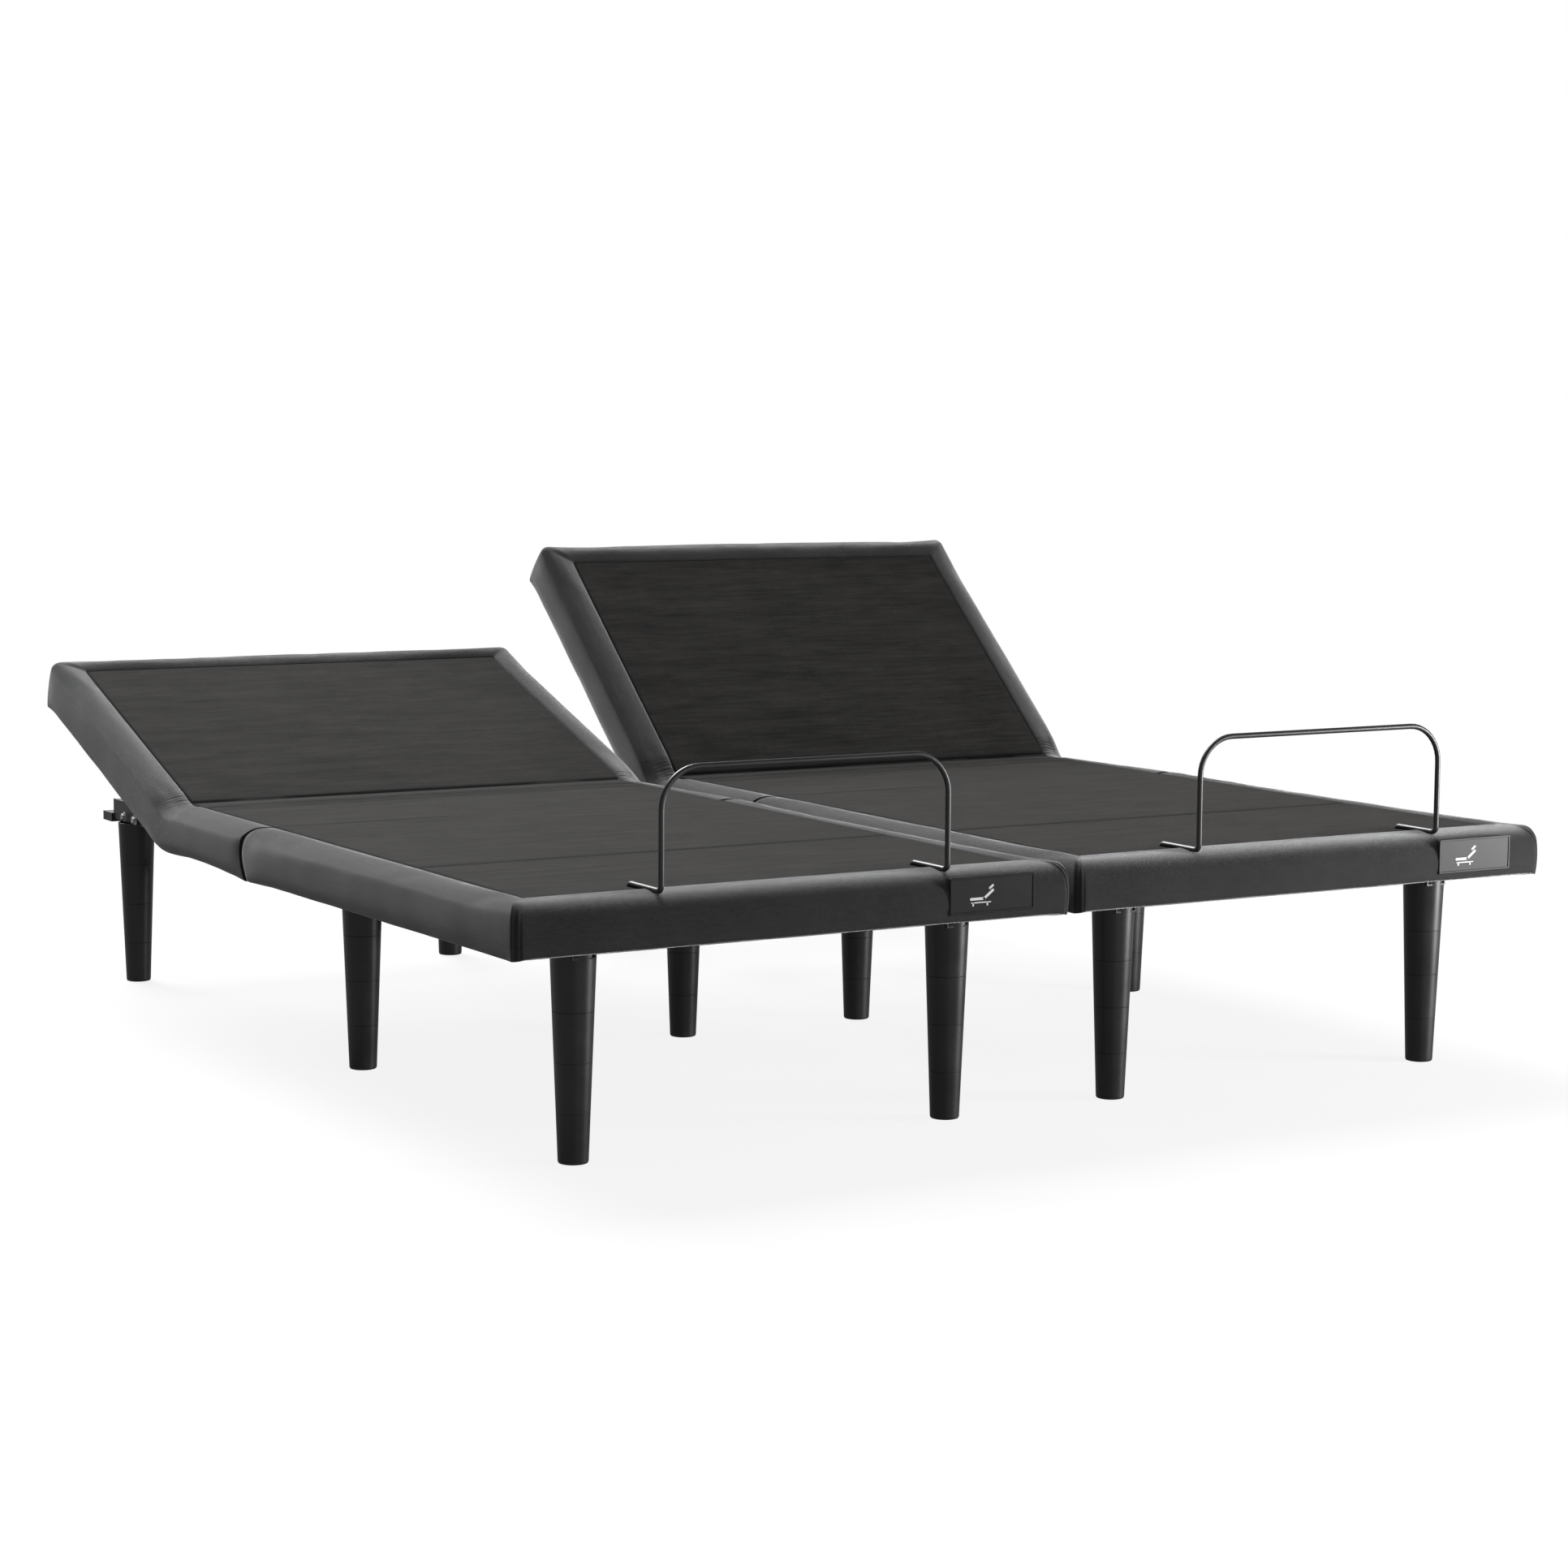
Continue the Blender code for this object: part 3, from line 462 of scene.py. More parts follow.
def grid_mesh(name, points, uv, seam, closed=False):
    """A mesh from a grid of points, with its cloth map in metres and its painted shade, kept as the seam
    attribute.

    points and uv are rows along by columns across. closed joins the last column to the first and caps both
    ends.
    """
    rows, columns = points.shape[:2]
    faces = []
    last = columns if closed else columns - 1
    for row in range(rows - 1):
        for column in range(last):
            beside = (column + 1) % columns
            a = row * columns + column
            b = row * columns + beside
            faces.append((a, b, b + columns, a + columns))
    if closed:
        faces.append(tuple(reversed(range(columns))))
        faces.append(tuple((rows - 1) * columns + column for column in range(columns)))
    mesh = bpy.data.meshes.new(name)
    mesh.from_pydata([tuple(point) for point in points.reshape(-1, 3)], [], faces)
    layer = mesh.uv_layers.new(name="cloth")
    flat = uv.reshape(-1, 2)
    width = flat[:, 1].max()
    for face in mesh.polygons:
        places = [flat[mesh.loops[corner].vertex_index].copy() for corner in face.loop_indices]
        if closed and len(places) == 4:
            for place in places:
                if place[1] == 0 and max(other[1] for other in places) > width / 2:
                    place[1] = width + COARSE_STEP
        for corner, place in zip(face.loop_indices, places):
            layer.data[corner].uv = place
    # painted shade for each point, from 0 to 1, read by the cloth materials
    attribute = mesh.attributes.new("seam", "FLOAT", "POINT")
    attribute.data.foreach_set("value", seam.reshape(-1).astype(np.float32))
    bm = bmesh.new()
    bm.from_mesh(mesh)
    bmesh.ops.recalc_face_normals(bm, faces=bm.faces)
    bm.to_mesh(mesh)
    bm.free()
    return mesh


def coordinates(mesh):
    co = np.zeros(len(mesh.vertices) * 3)
    mesh.vertices.foreach_get("co", co)
    return co.reshape(-1, 3)


def set_coordinates(mesh, points):
    mesh.vertices.foreach_set("co", points.reshape(-1).astype(np.float32))
    mesh.update()


def bend_up(points, hinge, tilt, reach):
    """Turns flat points up about a hinge, smoothly within reach of it: one length, or one for each point.
    """
    along = np.array((0, math.cos(tilt / 2), math.sin(tilt / 2)))
    centre = np.array(hinge)
    bent = points.copy()
    offset = points - centre
    for _ in range(40):
        share = np.clip(((bent - centre) @ along) / (2 * reach) + 0.5, 0, 1)
        turn = tilt * share * share * (3 - 2 * share)
        cos, sin = np.cos(turn), np.sin(turn)
        x, y, z = offset.T
        bent = np.stack((x, y * cos - z * sin, y * sin + z * cos), 1) + centre
    return bent


def blend_at(obj):
    """Bakes a piece's transform into its mesh."""
    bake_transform(obj)


def finished_mesh(bm, name):
    """A mesh from a bmesh, with its faces turned outward."""
    bmesh.ops.recalc_face_normals(bm, faces=bm.faces)
    mesh = bpy.data.meshes.new(name)
    bm.to_mesh(mesh)
    bm.free()
    return mesh


def lathe(name, profile, steps):
    """A turned mesh about z from (radius, height) points."""
    bm = bmesh.new()
    verts = [bm.verts.new((radius, 0, height)) for radius, height in profile]
    for first, second in zip(verts, verts[1:]):
        bm.edges.new((first, second))
    bmesh.ops.spin(
        bm, geom=bm.verts[:] + bm.edges[:], cent=(0, 0, 0), axis=(0, 0, 1), angle=2 * math.pi, steps=steps
    )
    bmesh.ops.remove_doubles(bm, verts=bm.verts, dist=0.00002)
    return finished_mesh(bm, name)


def tube(name, points, radius, material):
    """A round tube with closed ends along a list of points, as a mesh."""
    curve = bpy.data.curves.new(name, "CURVE")
    curve.dimensions = "3D"
    curve.bevel_depth = radius
    curve.bevel_resolution = 5
    curve.use_fill_caps = True
    spline = curve.splines.new("POLY")
    spline.points.add(len(points) - 1)
    for point, place in zip(spline.points, points):
        point.co = (*place, 1)
    holder = put(name, curve)
    graph = bpy.context.evaluated_depsgraph_get()
    mesh = bpy.data.meshes.new_from_object(holder.evaluated_get(graph))
    bpy.data.objects.remove(holder, do_unlink=True)
    bm = bmesh.new()
    bm.from_mesh(mesh)
    bmesh.ops.remove_doubles(bm, verts=bm.verts, dist=0.00001)
    bm.to_mesh(mesh)
    bm.free()
    mesh.name = name
    return link(name, mesh, material)


def joined(name, meshes, material):
    """One mesh object from several meshes that are already in place."""
    bm = bmesh.new()
    for mesh in meshes:
        bm.from_mesh(mesh)
        bpy.data.meshes.remove(mesh)
    obj = link(name, finished_mesh(bm, name), material)
    obj.data.set_sharp_from_angle(angle=math.radians(40))
    return obj


def declare(obj, body, slot, *nodes):
    """Says which body a piece rides on and which CAD nodes it stands for; slot is not used."""
    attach(obj, body)
    if nodes:
        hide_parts(*nodes)


# ---- borders ----


def mitred(distance, shift):
    """Moves a distance from a corner so that the inner line's shorter corner still meets the outer one."""
    if distance < MITRE_RUN:
        return distance * (MITRE_RUN - shift) / MITRE_RUN
    return distance - shift


def arm_distances(y_open, y_closed, hinge_y):
    """Distances from a border's open end to its corner: close together at the end and at the hinge."""
    toward = 1 if y_closed > y_open else -1
    straight = abs(y_closed - y_open) - CORNER_OUT
    distances = [0, 0.0015, 0.004, 0.008, 0.013, 0.019]
    while distances[-1] < straight - COARSE_STEP:
        y = y_open + toward * distances[-1]
        near = abs(y - hinge_y) < FINE_REACH
        distances.append(distances[-1] + (FINE_STEP if near else COARSE_STEP))
    distances.append(straight)
    return distances


def border_path(y_open, y_closed, end_width, hinge_y):
    """Stations round a U from one open end to the other.

    Each is its outer point, inner point, distance to an open end, and share of the corner turned, from 0 on
    an arm to 1 on the closed end.
    """
    toward = 1 if y_closed > y_open else -1
    side_width = HALF_WIDTH - SIDE_INNER_X
    arm = arm_distances(y_open, y_closed, hinge_y)
    arm_shift = end_width + CORNER_IN - CORNER_OUT
    end_shift = side_width + CORNER_IN - CORNER_OUT
    left = []
    for distance in arm:
        inside = mitred(arm[-1] - distance, arm_shift)
        inner = (-SIDE_INNER_X, y_closed - toward * (end_width + CORNER_IN + inside))
        left.append(((-HALF_WIDTH, y_open + toward * distance), inner, distance, 0.0))
    corner = []
    for step in range(1, CORNER_STEPS):
        angle = math.radians(90 * step / CORNER_STEPS)
        across, along = 1 - math.cos(angle), 1 - math.sin(angle)
        outer = (-HALF_WIDTH + CORNER_OUT * across, y_closed - toward * CORNER_OUT * along)
        inner = (-SIDE_INNER_X + CORNER_IN * across, y_closed - toward * (end_width + CORNER_IN * along))
        corner.append((outer, inner, 1.0, step / CORNER_STEPS))
    far = HALF_WIDTH - CORNER_OUT
    half_count = round(far / COARSE_STEP)
    closed = []
    for step in range(-half_count, half_count + 1):
        x = far * step / half_count
        inside = SIDE_INNER_X - CORNER_IN - mitred(far - abs(x), end_shift)
        closed.append(((x, y_closed), (math.copysign(inside, x), y_closed - toward * end_width), 1.0, 1.0))

    def other(stations):
        return [((-o[0], o[1]), (-i[0], i[1]), d, turn) for o, i, d, turn in reversed(stations)]

    return left + corner + closed + other(corner) + other(left)


def arc(centre, radii, start, end, count):
    """Points on an elliptical arc in the section, from one angle to another in degrees."""
    angles = [math.radians(start + (end - start) * step / (count - 1)) for step in range(count)]
    return [(centre[0] + radii[0] * math.cos(a), centre[1] + radii[1] * math.sin(a)) for a in angles]


def between(first, last, count, bulge=(0.0, 0.0)):
    """Points between two others, pushed out in the middle."""
    points = []
    for t in (step / (count + 1) for step in range(1, count + 1)):
        hump = 4 * t * (1 - t)
        points.append(tuple(a + (b - a) * t + push * hump for a, b, push in zip(first, last, bulge)))
    return points


TOP_POINTS = 3
CROWN_POINTS = 3
SHOULDER_POINTS = 8
FACE_POINTS = 4
BOTTOM_POINTS = 5
UNDER_POINTS = 4


def section(width, depth, shoulder, crown_height):
    """A border's outline in (distance out from its inner line, height), from its tucked top edge round."""
    top = [(0.0010, -TUCK), (0.0018, -0.0024), (0.0048, -0.0004)]
    run, drop = shoulder
    rounded = arc((width - run, -drop), shoulder, 90, 0, SHOULDER_POINTS)
    radii = (BOTTOM_ROUND, BOTTOM_ROUND)
    bottom = arc((width - BOTTOM_ROUND, -depth + BOTTOM_ROUND), radii, 0, -90, BOTTOM_POINTS)
    crown = between(top[-1], rounded[0], CROWN_POINTS, (0, crown_height))
    face = between(rounded[-1], bottom[0], FACE_POINTS, (0.0010, 0))
    inner_bottom = (0.0040, -depth + 0.001)
    under = between(bottom[-1], inner_bottom, UNDER_POINTS)
    inside = between(inner_bottom, top[0], 4)
    return [*top, *crown, *rounded, *face, *bottom, *under, inner_bottom, *inside]


FACE_FIRST = TOP_POINTS + CROWN_POINTS
FACE_LAST = FACE_FIRST + SHOULDER_POINTS + FACE_POINTS
BOTTOM_LAST = FACE_LAST + BOTTOM_POINTS
FACE_MIDDLE = FACE_FIRST + SHOULDER_POINTS + 1


def bell(values, width):
    return np.exp(-((values / width) ** 2))


def corner_offsets(stations):
    """Each station's signed distance along the outer line from the middle of the nearer corner."""
    outer = np.array([station[0] for station in stations])
    walked = np.concatenate(([0], np.cumsum(np.linalg.norm(np.diff(outer, axis=0), axis=1))))
    turns = np.array([station[3] for station in stations])
    middles = [index for index, turn in enumerate(turns) if turn == 0.5]
    offsets = np.stack([walked - walked[index] for index in middles])
    nearest = np.argmin(np.abs(offsets), axis=0)
    return walked, offsets[nearest, np.arange(len(stations))]


def smooth(value):
    """A smooth step from 0 to 1."""
    value = np.clip(value, 0, 1)
    return value * value * (3 - 2 * value)


def border_points(y_open, y_closed, end_width, hinge_y, end_round, raised, shoulder, sag_run, stitched):
    """The border's grid of points, laid flat, with its cloth map and painted shade."""
    stations = border_path(y_open, y_closed, end_width, hinge_y)
    walked, offsets = corner_offsets(stations)
    round_length, round_inset = end_round
    middle = -BORDER_DEPTH / 2
    rows = []
    uv = []
    for along, (outer, inner, open_distance, turn) in zip(walked, stations):
        outer = Vector(outer)
        inner = Vector(inner)
        out = outer - inner
        width = out.length
        out.normalize()
        depth = BORDER_DEPTH + BOTTOM_DROP
        depth += (SIDE_DROP + SIDE_SAG * max(0.0, 1 - open_distance / sag_run)) * (1 - turn)
        if raised:
            depth += HEAD_DROP * smooth((outer.y - hinge_y + HEAD_DROP_RUN) / (2 * HEAD_DROP_RUN))
        if raised and turn == 1.0:
            clear = smooth((NOTCH_X - abs(outer.x)) / NOTCH_RUN)
            depth += (DECK_TOP - NOTCH_Z - depth) * clear
        eased = smooth(turn)
        past_hinge = smooth((outer.y - hinge_y) / HEAD_SIDE_RUN) if raised else 0.0
        side_round = [flat + (up - flat) * past_hinge for flat, up in zip(SIDE_SHOULDER, HEAD_SIDE_SHOULDER)]
        round_off = [side + (end - side) * eased for side, end in zip(side_round, shoulder)]
        outline = section(width, depth, round_off, CROWN + (HEAD_CROWN * eased if raised else 0.0))
        shrink = 0.0
        if open_distance < round_length:
            left = 1 - open_distance / round_length
            shrink = round_inset * (1 - math.sqrt(max(0.0, 1 - left * left)))
        fade = max(0.0, 1 - open_distance / SPLIT_FADE) ** 2
        row = []
        for n, z in outline:
            n = width / 2 + (n - width / 2) * (1 - 2 * shrink / width)
            z = middle + (z - middle) * (1 - 2 * shrink / BORDER_DEPTH)
            share = (z - middle) / middle
            low = max(0.0, share)
            push = SPLIT_BULGE * fade * (1 - share * share) + SPLIT_LOW_BULGE * fade * low**3
            place = inner + out * n
            row.append((place.x, place.y + push, DECK_TOP + z))
        rows.append(row)
        lengths = np.cumsum([0.0] + [math.dist(a, b) for a, b in zip(outline, outline[1:])])
        uv.append([(along, length) for length in lengths])
    points = np.array(rows)
    # painted shade: the tucked top edge, the lower edge and underside, and the open ends beside the split are
    # darkened
    seam = np.zeros(points.shape[:2])
    seam[:, 0] = 1.0
    seam[:, 1] = TUCK_SHADE
    seam[:, FACE_LAST + 1 :] = LOWER_EDGE_SHADE
    seam[:, -1] = 1.0
    seam[(0, -1), :] = 1.0
    seam[(1, -2), :] = END_SHADE
    if stitched:
        stitch_corners(points, seam, stations, offsets)
    return points, np.array(uv), seam, offsets


def stitch_corners(points, seam, stations, offsets):
    """Sewn grooves with soft ridges between them, down each corner and along its mitre."""
    between_grooves = [(a + b) / 2 for a, b in zip(CORNER_GROOVES, CORNER_GROOVES[1:])]
    grooves = sum(bell(offsets - place, GROOVE_WIDTH) for place in CORNER_GROOVES)
    ridges = sum(bell(offsets - place, RIDGE_WIDTH) for place in between_grooves)
    out = np.array([(Vector(o) - Vector(i)).normalized() for o, i, _, _ in stations])
    step = RIDGE_HEIGHT * ridges - GROOVE_DEPTH * grooves
    face = slice(FACE_FIRST, BOTTOM_LAST)
    points[:, face, :2] += (out * step[:, None])[:, None, :]
    points[:, TOP_POINTS:FACE_FIRST, 2] += step[:, None] / 2
    # painted shade in the grooves, from the top down to the lower edge
    shade = np.clip(grooves, 0, 1)[:, None] * GROOVE_SHADE
    seam[:, 2:BOTTOM_LAST] = np.maximum(seam[:, 2:BOTTOM_LAST], shade)


def waves(x, seed):
    """A smooth unit wave along a line that doesn't repeat, different for each seed."""
    return (
        0.5 * np.sin(2 * math.pi * x / 0.31 + seed * 1.7)
        + 0.3 * np.sin(2 * math.pi * x / 0.17 + seed * 2.9)
        + 0.2 * np.sin(2 * math.pi * x / 0.093 + seed * 4.1)
    )


def held_weights(shape, along):
    """How firmly each point is held: fully at the tucked edges and the staples, and elsewhere not at all."""
    held = np.zeros(shape)
    held[:, :TOP_POINTS] = 1.0
    held[:, BOTTOM_LAST + 2 :] = 1.0
    stapled = (along % STAPLE_PITCH) < COARSE_STEP * 1.1
    held[stapled, BOTTOM_LAST:] = 1.0
    held[(0, 1, -2, -1), :] = 1.0
    return held


def swell(mesh, held, along):
    """Simulates the cloth of a border over its foam, with the held points pinned.

    How far each point moves is capped, and evened out along the border, as foam evens out its cover.
    """
    obj = put("swelling", mesh.copy())
    pins = obj.vertex_groups.new(name="held")
    for index, weight in enumerate(held.reshape(-1)):
        if weight > 0:
            pins.add([index], float(weight), "REPLACE")
    modifier = obj.modifiers.new("cloth", "CLOTH")
    cloth = modifier.settings
    cloth.quality = 5
    cloth.mass = 0.25
    cloth.tension_stiffness = 12
    cloth.compression_stiffness = 8
    cloth.bending_stiffness = 0.4
    cloth.use_pressure = True
    cloth.uniform_pressure_force = 3.0
    cloth.vertex_group_mass = "held"
    cloth.shrink_min = -0.002
    cloth.effector_weights.gravity = 0
    modifier.point_cache.frame_start = 1
    modifier.point_cache.frame_end = SWELL_FRAMES
    scene = bpy.context.scene
    for step in range(1, SWELL_FRAMES + 1):
        scene.frame_set(step)
    graph = bpy.context.evaluated_depsgraph_get()
    shown = obj.evaluated_get(graph)
    settled = coordinates(shown.data)
    scene.frame_set(1)
    start = coordinates(mesh)
    bpy.data.objects.remove(obj, do_unlink=True)
    move = settled - start
    far = np.linalg.norm(move, axis=1, keepdims=True)
    move *= np.minimum(1, SWELL_CAP / np.maximum(far, 1e-9))
    near = bell(along[:, None] - along[None, :], FOAM_REACH) * np.gradient(along)[None, :]
    near /= near.sum(axis=1, keepdims=True)
    even = np.einsum("ij,jkc->ikc", near, move.reshape(*held.shape, 3))
    return start + (even * (1 - held)[:, :, None]).reshape(-1, 3)


def upholstered_border(name, **shape):
    """A border's flat mesh: shaped, swollen by simulation, then with a wavy lower edge and face."""
    points, uv, seam, offsets = border_points(**shape)
    mesh = grid_mesh(name, points, uv, seam, closed=True)
    along = uv[:, 0, 0]
    soft = points.reshape(-1, 3)
    soft = swell(mesh, held_weights(points.shape[:2], along), along)
    soft = soft.reshape(points.shape)
    columns = np.arange(points.shape[1])
    low = bell(columns - FACE_LAST, 2.6)[None, :]
    soft[:, :, 2] += LOWER_EDGE_WAVE * waves(along, 7)[:, None] * low
    soft[:, :, 2] -= CORNER_DIP * bell(offsets, CORNER_DIP_REACH)[:, None] * low
    face = bell(columns - FACE_MIDDLE, 4.0)[None, :]
    soft[:, :, 0] += FACE_WAVE * np.sign(soft[:, :, 0]) * waves(along, 10)[:, None] * face
    set_coordinates(mesh, soft)
    return mesh, points.shape[1]


CREASE_MIDDLE = 0.018
CREASE_REACH = 0.040
CREASE_HEIGHT = 0.0010
DRAG_REACH = 0.060
DRAG_HEIGHT = 0.0002


def pucker(points, columns_across, hinge, seed):
    """Creases across a border's top where it bends up, deepest at the inner edge on the head side."""
    grid = points.reshape(-1, columns_across, 3)
    s = grid[:, :, 1] - hinge.y
    column = np.arange(columns_across)
    x = grid[:, :, 0]
    near = np.clip(1 - ((s - CREASE_MIDDLE) / CREASE_REACH) ** 2, 0, 1) ** 1.5
    top = np.clip(1 - np.abs(column - 3.5) / 7.5, 0, 1)[None, :]
    folds = 0.65 * np.sin(2 * math.pi * (s + 0.10 * np.abs(x)) / 0.0082 + seed)
    folds += 0.35 * np.sin(2 * math.pi * (s - 0.16 * np.abs(x)) / 0.0152 + seed * 2.3)
    grid[:, :, 2] += CREASE_HEIGHT * folds * near * top
    wide = np.clip(1 - (s / DRAG_REACH) ** 2, 0, 1)
    drag = np.sin(2 * math.pi * (s + (grid[:, :, 2] - DECK_TOP) * 0.9) / 0.034 + seed)
    grid[:, :, 0] += DRAG_HEIGHT * np.sign(x) * drag * wide * bell(column - FACE_MIDDLE, 4.5)[None, :]
    return grid.reshape(-1, 3)


def place_border(name, mesh, points, covers):
    """Links a border's mesh at its points and smooths it."""
    obj = link(name, mesh.copy(), BORDER_CLOTH)
    set_coordinates(obj.data, points)
    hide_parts(*covers)
    modifier = obj.modifiers.new("smooth", "SUBSURF")
    modifier.levels = 1
    modifier.render_levels = 1
    return obj


def place_upper_border(side, mesh, columns):
    hinge = pivot(f"{side}_head_hinge")
    points = pucker(coordinates(mesh), columns, hinge, 1.0 + 2.0 * SIDES.index(side))
    points[:, 0] += BED_X[side]
    depth = np.clip((DECK_TOP - points[:, 2]) / BORDER_DEPTH, 0, 1)
    bent = bend_up(points, hinge, TILT[side], TOP_REACH + (BOTTOM_REACH - TOP_REACH) * depth)
    obj = place_border(f"{side}_upper_border", mesh, bent, (f"{side}_head_cover", f"{side}_seat_cover"))
    blend_at(obj)


def place_lower_border(side, mesh):
    points = coordinates(mesh)
    points[:, 0] += BED_X[side]
    obj = place_border(f"{side}_lower_border", mesh, points, (f"{side}_thigh_cover", f"{side}_foot_cover"))
    blend_at(obj)


# ---- deck panels ----

PANEL_LEVEL = 0.0006
PANEL_LOWEST = 0.0030
PANEL_THICKNESS = 0.0008
PANEL_RIPPLE = 0.0003
EDGE_UNDER = 0.0012
EDGE_DROP = 0.0012
EDGE_DROP_RUN = 0.006
EDGE_LEAST_DROP = 0.0016
KNUCKLE_CLEAR = 0.0013
KNUCKLE_X = 0.300
SPLIT_OPEN = 0.0012
SPLIT_CLOSED = 0.0004
TUCK_GAP = 0.0002
SPLIT_ENDS = (-0.150, -0.060)


def spaced(low, high, marks, coarse, fine, reach):
    """Places from low to high, close together near the marks and the two ends."""
    places = [low, low + 0.0012]
    while places[-1] < high - 0.0012 - fine:
        near = any(-reach - coarse < places[-1] - mark < reach for mark in (*marks, low, high))
        places.append(min(high - 0.0012, places[-1] + (fine if near else coarse)))
    return np.array([*places, high])


def panel_mesh(name, low_y, high_y, seams, ridges, seed):
    """A stretched panel of deck cloth, which ends SPLIT_OPEN short of the split.

    seams are (y, depth, half width, painted shade) grooves across it, and ridges are (y, height, half width).
    """
    half = SIDE_INNER_X + EDGE_UNDER
    marks = [seam[0] for seam in seams] + [ridge[0] for ridge in ridges]
    ys = spaced(low_y, high_y, marks, 0.020, 0.0020, 0.012)
    xs = spaced(-half, half, (-KNUCKLE_X, KNUCKLE_X), 0.022, 0.0025, 0.010)
    x, y = np.meshgrid(xs, ys)
    z = np.full(x.shape, -PANEL_LEVEL)
    shade = np.zeros(x.shape)
    for place, height, half_width in ridges:
        run = np.clip((half * 0.95 - np.abs(x)) / 0.03, 0, 1)
        z += height * bell(y - place, half_width) * run
    for place, depth, half_width, dark in seams:
        groove = bell(y - place, half_width)
        z -= depth * groove
        # painted shade in the groove
        shade = np.maximum(shade, np.minimum(1, groove * 1.4) * dark)
    lift = 1 - np.clip((np.abs(np.abs(x) - KNUCKLE_X) - 0.040) / 0.010, 0, 1)
    z = np.maximum(z, -PANEL_LOWEST + lift * (PANEL_LOWEST - KNUCKLE_CLEAR))
    for place in np.ndindex(x.shape):
        z[place] += PANEL_RIPPLE * noise.noise(Vector((x[place] * 2.2, y[place] * 9.0, seed)))
    opened = 1 - smooth((x - SPLIT_ENDS[0]) / (SPLIT_ENDS[1] - SPLIT_ENDS[0]))
    at_split_low = abs(low_y - SPLIT_Y) < 0.02
    edges = ((half - np.abs(x), False), (y - low_y, at_split_low), (high_y - y, not at_split_low))
    for distance, at_split in edges:
        depth = opened if at_split else np.ones(x.shape)
        edge = np.clip(1 - distance / EDGE_DROP_RUN, 0, 1) ** 2
        z -= EDGE_DROP * edge * depth
        # painted shade along the edges that drop under the borders and along the open part of the split
        shade = np.maximum(shade, edge * 0.9 * depth)
        tucked = distance < 0.0005
        z[tucked] = (-EDGE_LEAST_DROP - (TUCK - EDGE_LEAST_DROP) * depth)[tucked]
        if at_split:
            toward = -1 if at_split_low else 1
            y = y + toward * (SPLIT_OPEN - SPLIT_CLOSED) * (1 - opened) * np.clip(1 - distance / 0.02, 0, 1)
            y = np.where(tucked, SPLIT_Y - toward * TUCK_GAP, y)
    points = np.stack((x, y, z + DECK_TOP), 2)
    return grid_mesh(name, points, np.stack((x, y), 2), shade), (2 * half, high_y - low_y)


def place_panel(side, name, mesh, size, bodies, hinge, tilt, boards):
    obj = link(f"{side}_{name}", mesh.copy(), PANEL_CLOTH)
    points = coordinates(mesh).copy()
    points[:, 0] += BED_X[side]
    if tilt:
        points = bend_up(points, hinge, tilt, PANEL_REACH)
    set_coordinates(obj.data, points)
    blend_at(obj)
    solid = obj.modifiers.new("thickness", "SOLIDIFY")
    solid.thickness = PANEL_THICKNESS
    solid.offset = -1


# ---- legs ----


def leg_profile(top_radius, foot_radius, height, reach):
    """From the sole up: a rounded glide and stacked segments with a fine seam between each two."""

    def radius(z):
        return foot_radius + (top_radius - foot_radius) * z / height

    profile = [(0, 0), (foot_radius - 0.0030, 0), (foot_radius - 0.0010, 0.0006), (radius(0.003), 0.0030)]
    joint = SEGMENT
    while joint < height - SEGMENT / 2:
        profile.append((radius(joint - 0.0008), joint - 0.0008))
        profile.append((radius(joint) - 0.0004, joint - 0.0002))
        profile.append((radius(joint) - 0.0004, joint + 0.0002))
        profile.append((radius(joint + 0.0008), joint + 0.0008))
        joint += SEGMENT
    profile.append((radius(reach - 0.0008), reach - 0.0008))
    profile.append((radius(reach) - 0.0008, reach))
    profile.append((0, reach))
    return profile


def make_legs():
    low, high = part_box("left_foot_leg_left")
    top_radius = (high.x - low.x) / 2
    height = high.z
    under_border = DECK_TOP - BORDER_DEPTH - BOTTOM_DROP - 0.0010
    for end, reach in (("foot", under_border), ("middle", under_border), ("head", height + LEG_DISC)):
        mesh = lathe("leg", leg_profile(top_radius, top_radius * 2 / 3, height, reach), 64)
        for side in SIDES:
            for hand in SIDES:
                node = f"{side}_{end}_leg_{hand}"
                low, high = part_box(node)
                obj = link(f"{node}_turned", mesh.copy(), LEG_PLASTIC)
                obj.data.set_sharp_from_angle(angle=math.radians(15))
                obj.data.transform(Matrix.Translation(((low.x + high.x) / 2, (low.y + high.y) / 2, 0)))
                declare(obj, "frame", "leg_plastic", node)


# ---- retainer bars ----


def rounded_route(points, radii, steps=10):
    """A route of straight runs with an arc at each inner point."""
    route = [Vector(points[0])]
    for before, here, after, radius in zip(points, points[1:], points[2:], radii):
        here = Vector(here)
        into = (Vector(before) - here).normalized()
        out = (Vector(after) - here).normalized()
        half = into.angle(out) / 2
        setback = radius / math.tan(half)
        centre = here + (into + out).normalized() * radius / math.sin(half)
        first = here + into * setback - centre
        last = here + out * setback - centre
        for step in range(steps + 1):
            turn = first.slerp(last, step / steps)
            route.append(centre + turn.normalized() * radius)
    route.append(Vector(points[-1]))
    return route


EYELET_PROFILE = [
    (0.0052, -0.004), (0.0052, 0.0005), (0.0060, 0.0010), (0.0078, 0.0008), (0.0088, 0.0002), (0.0090, -0.004)
]


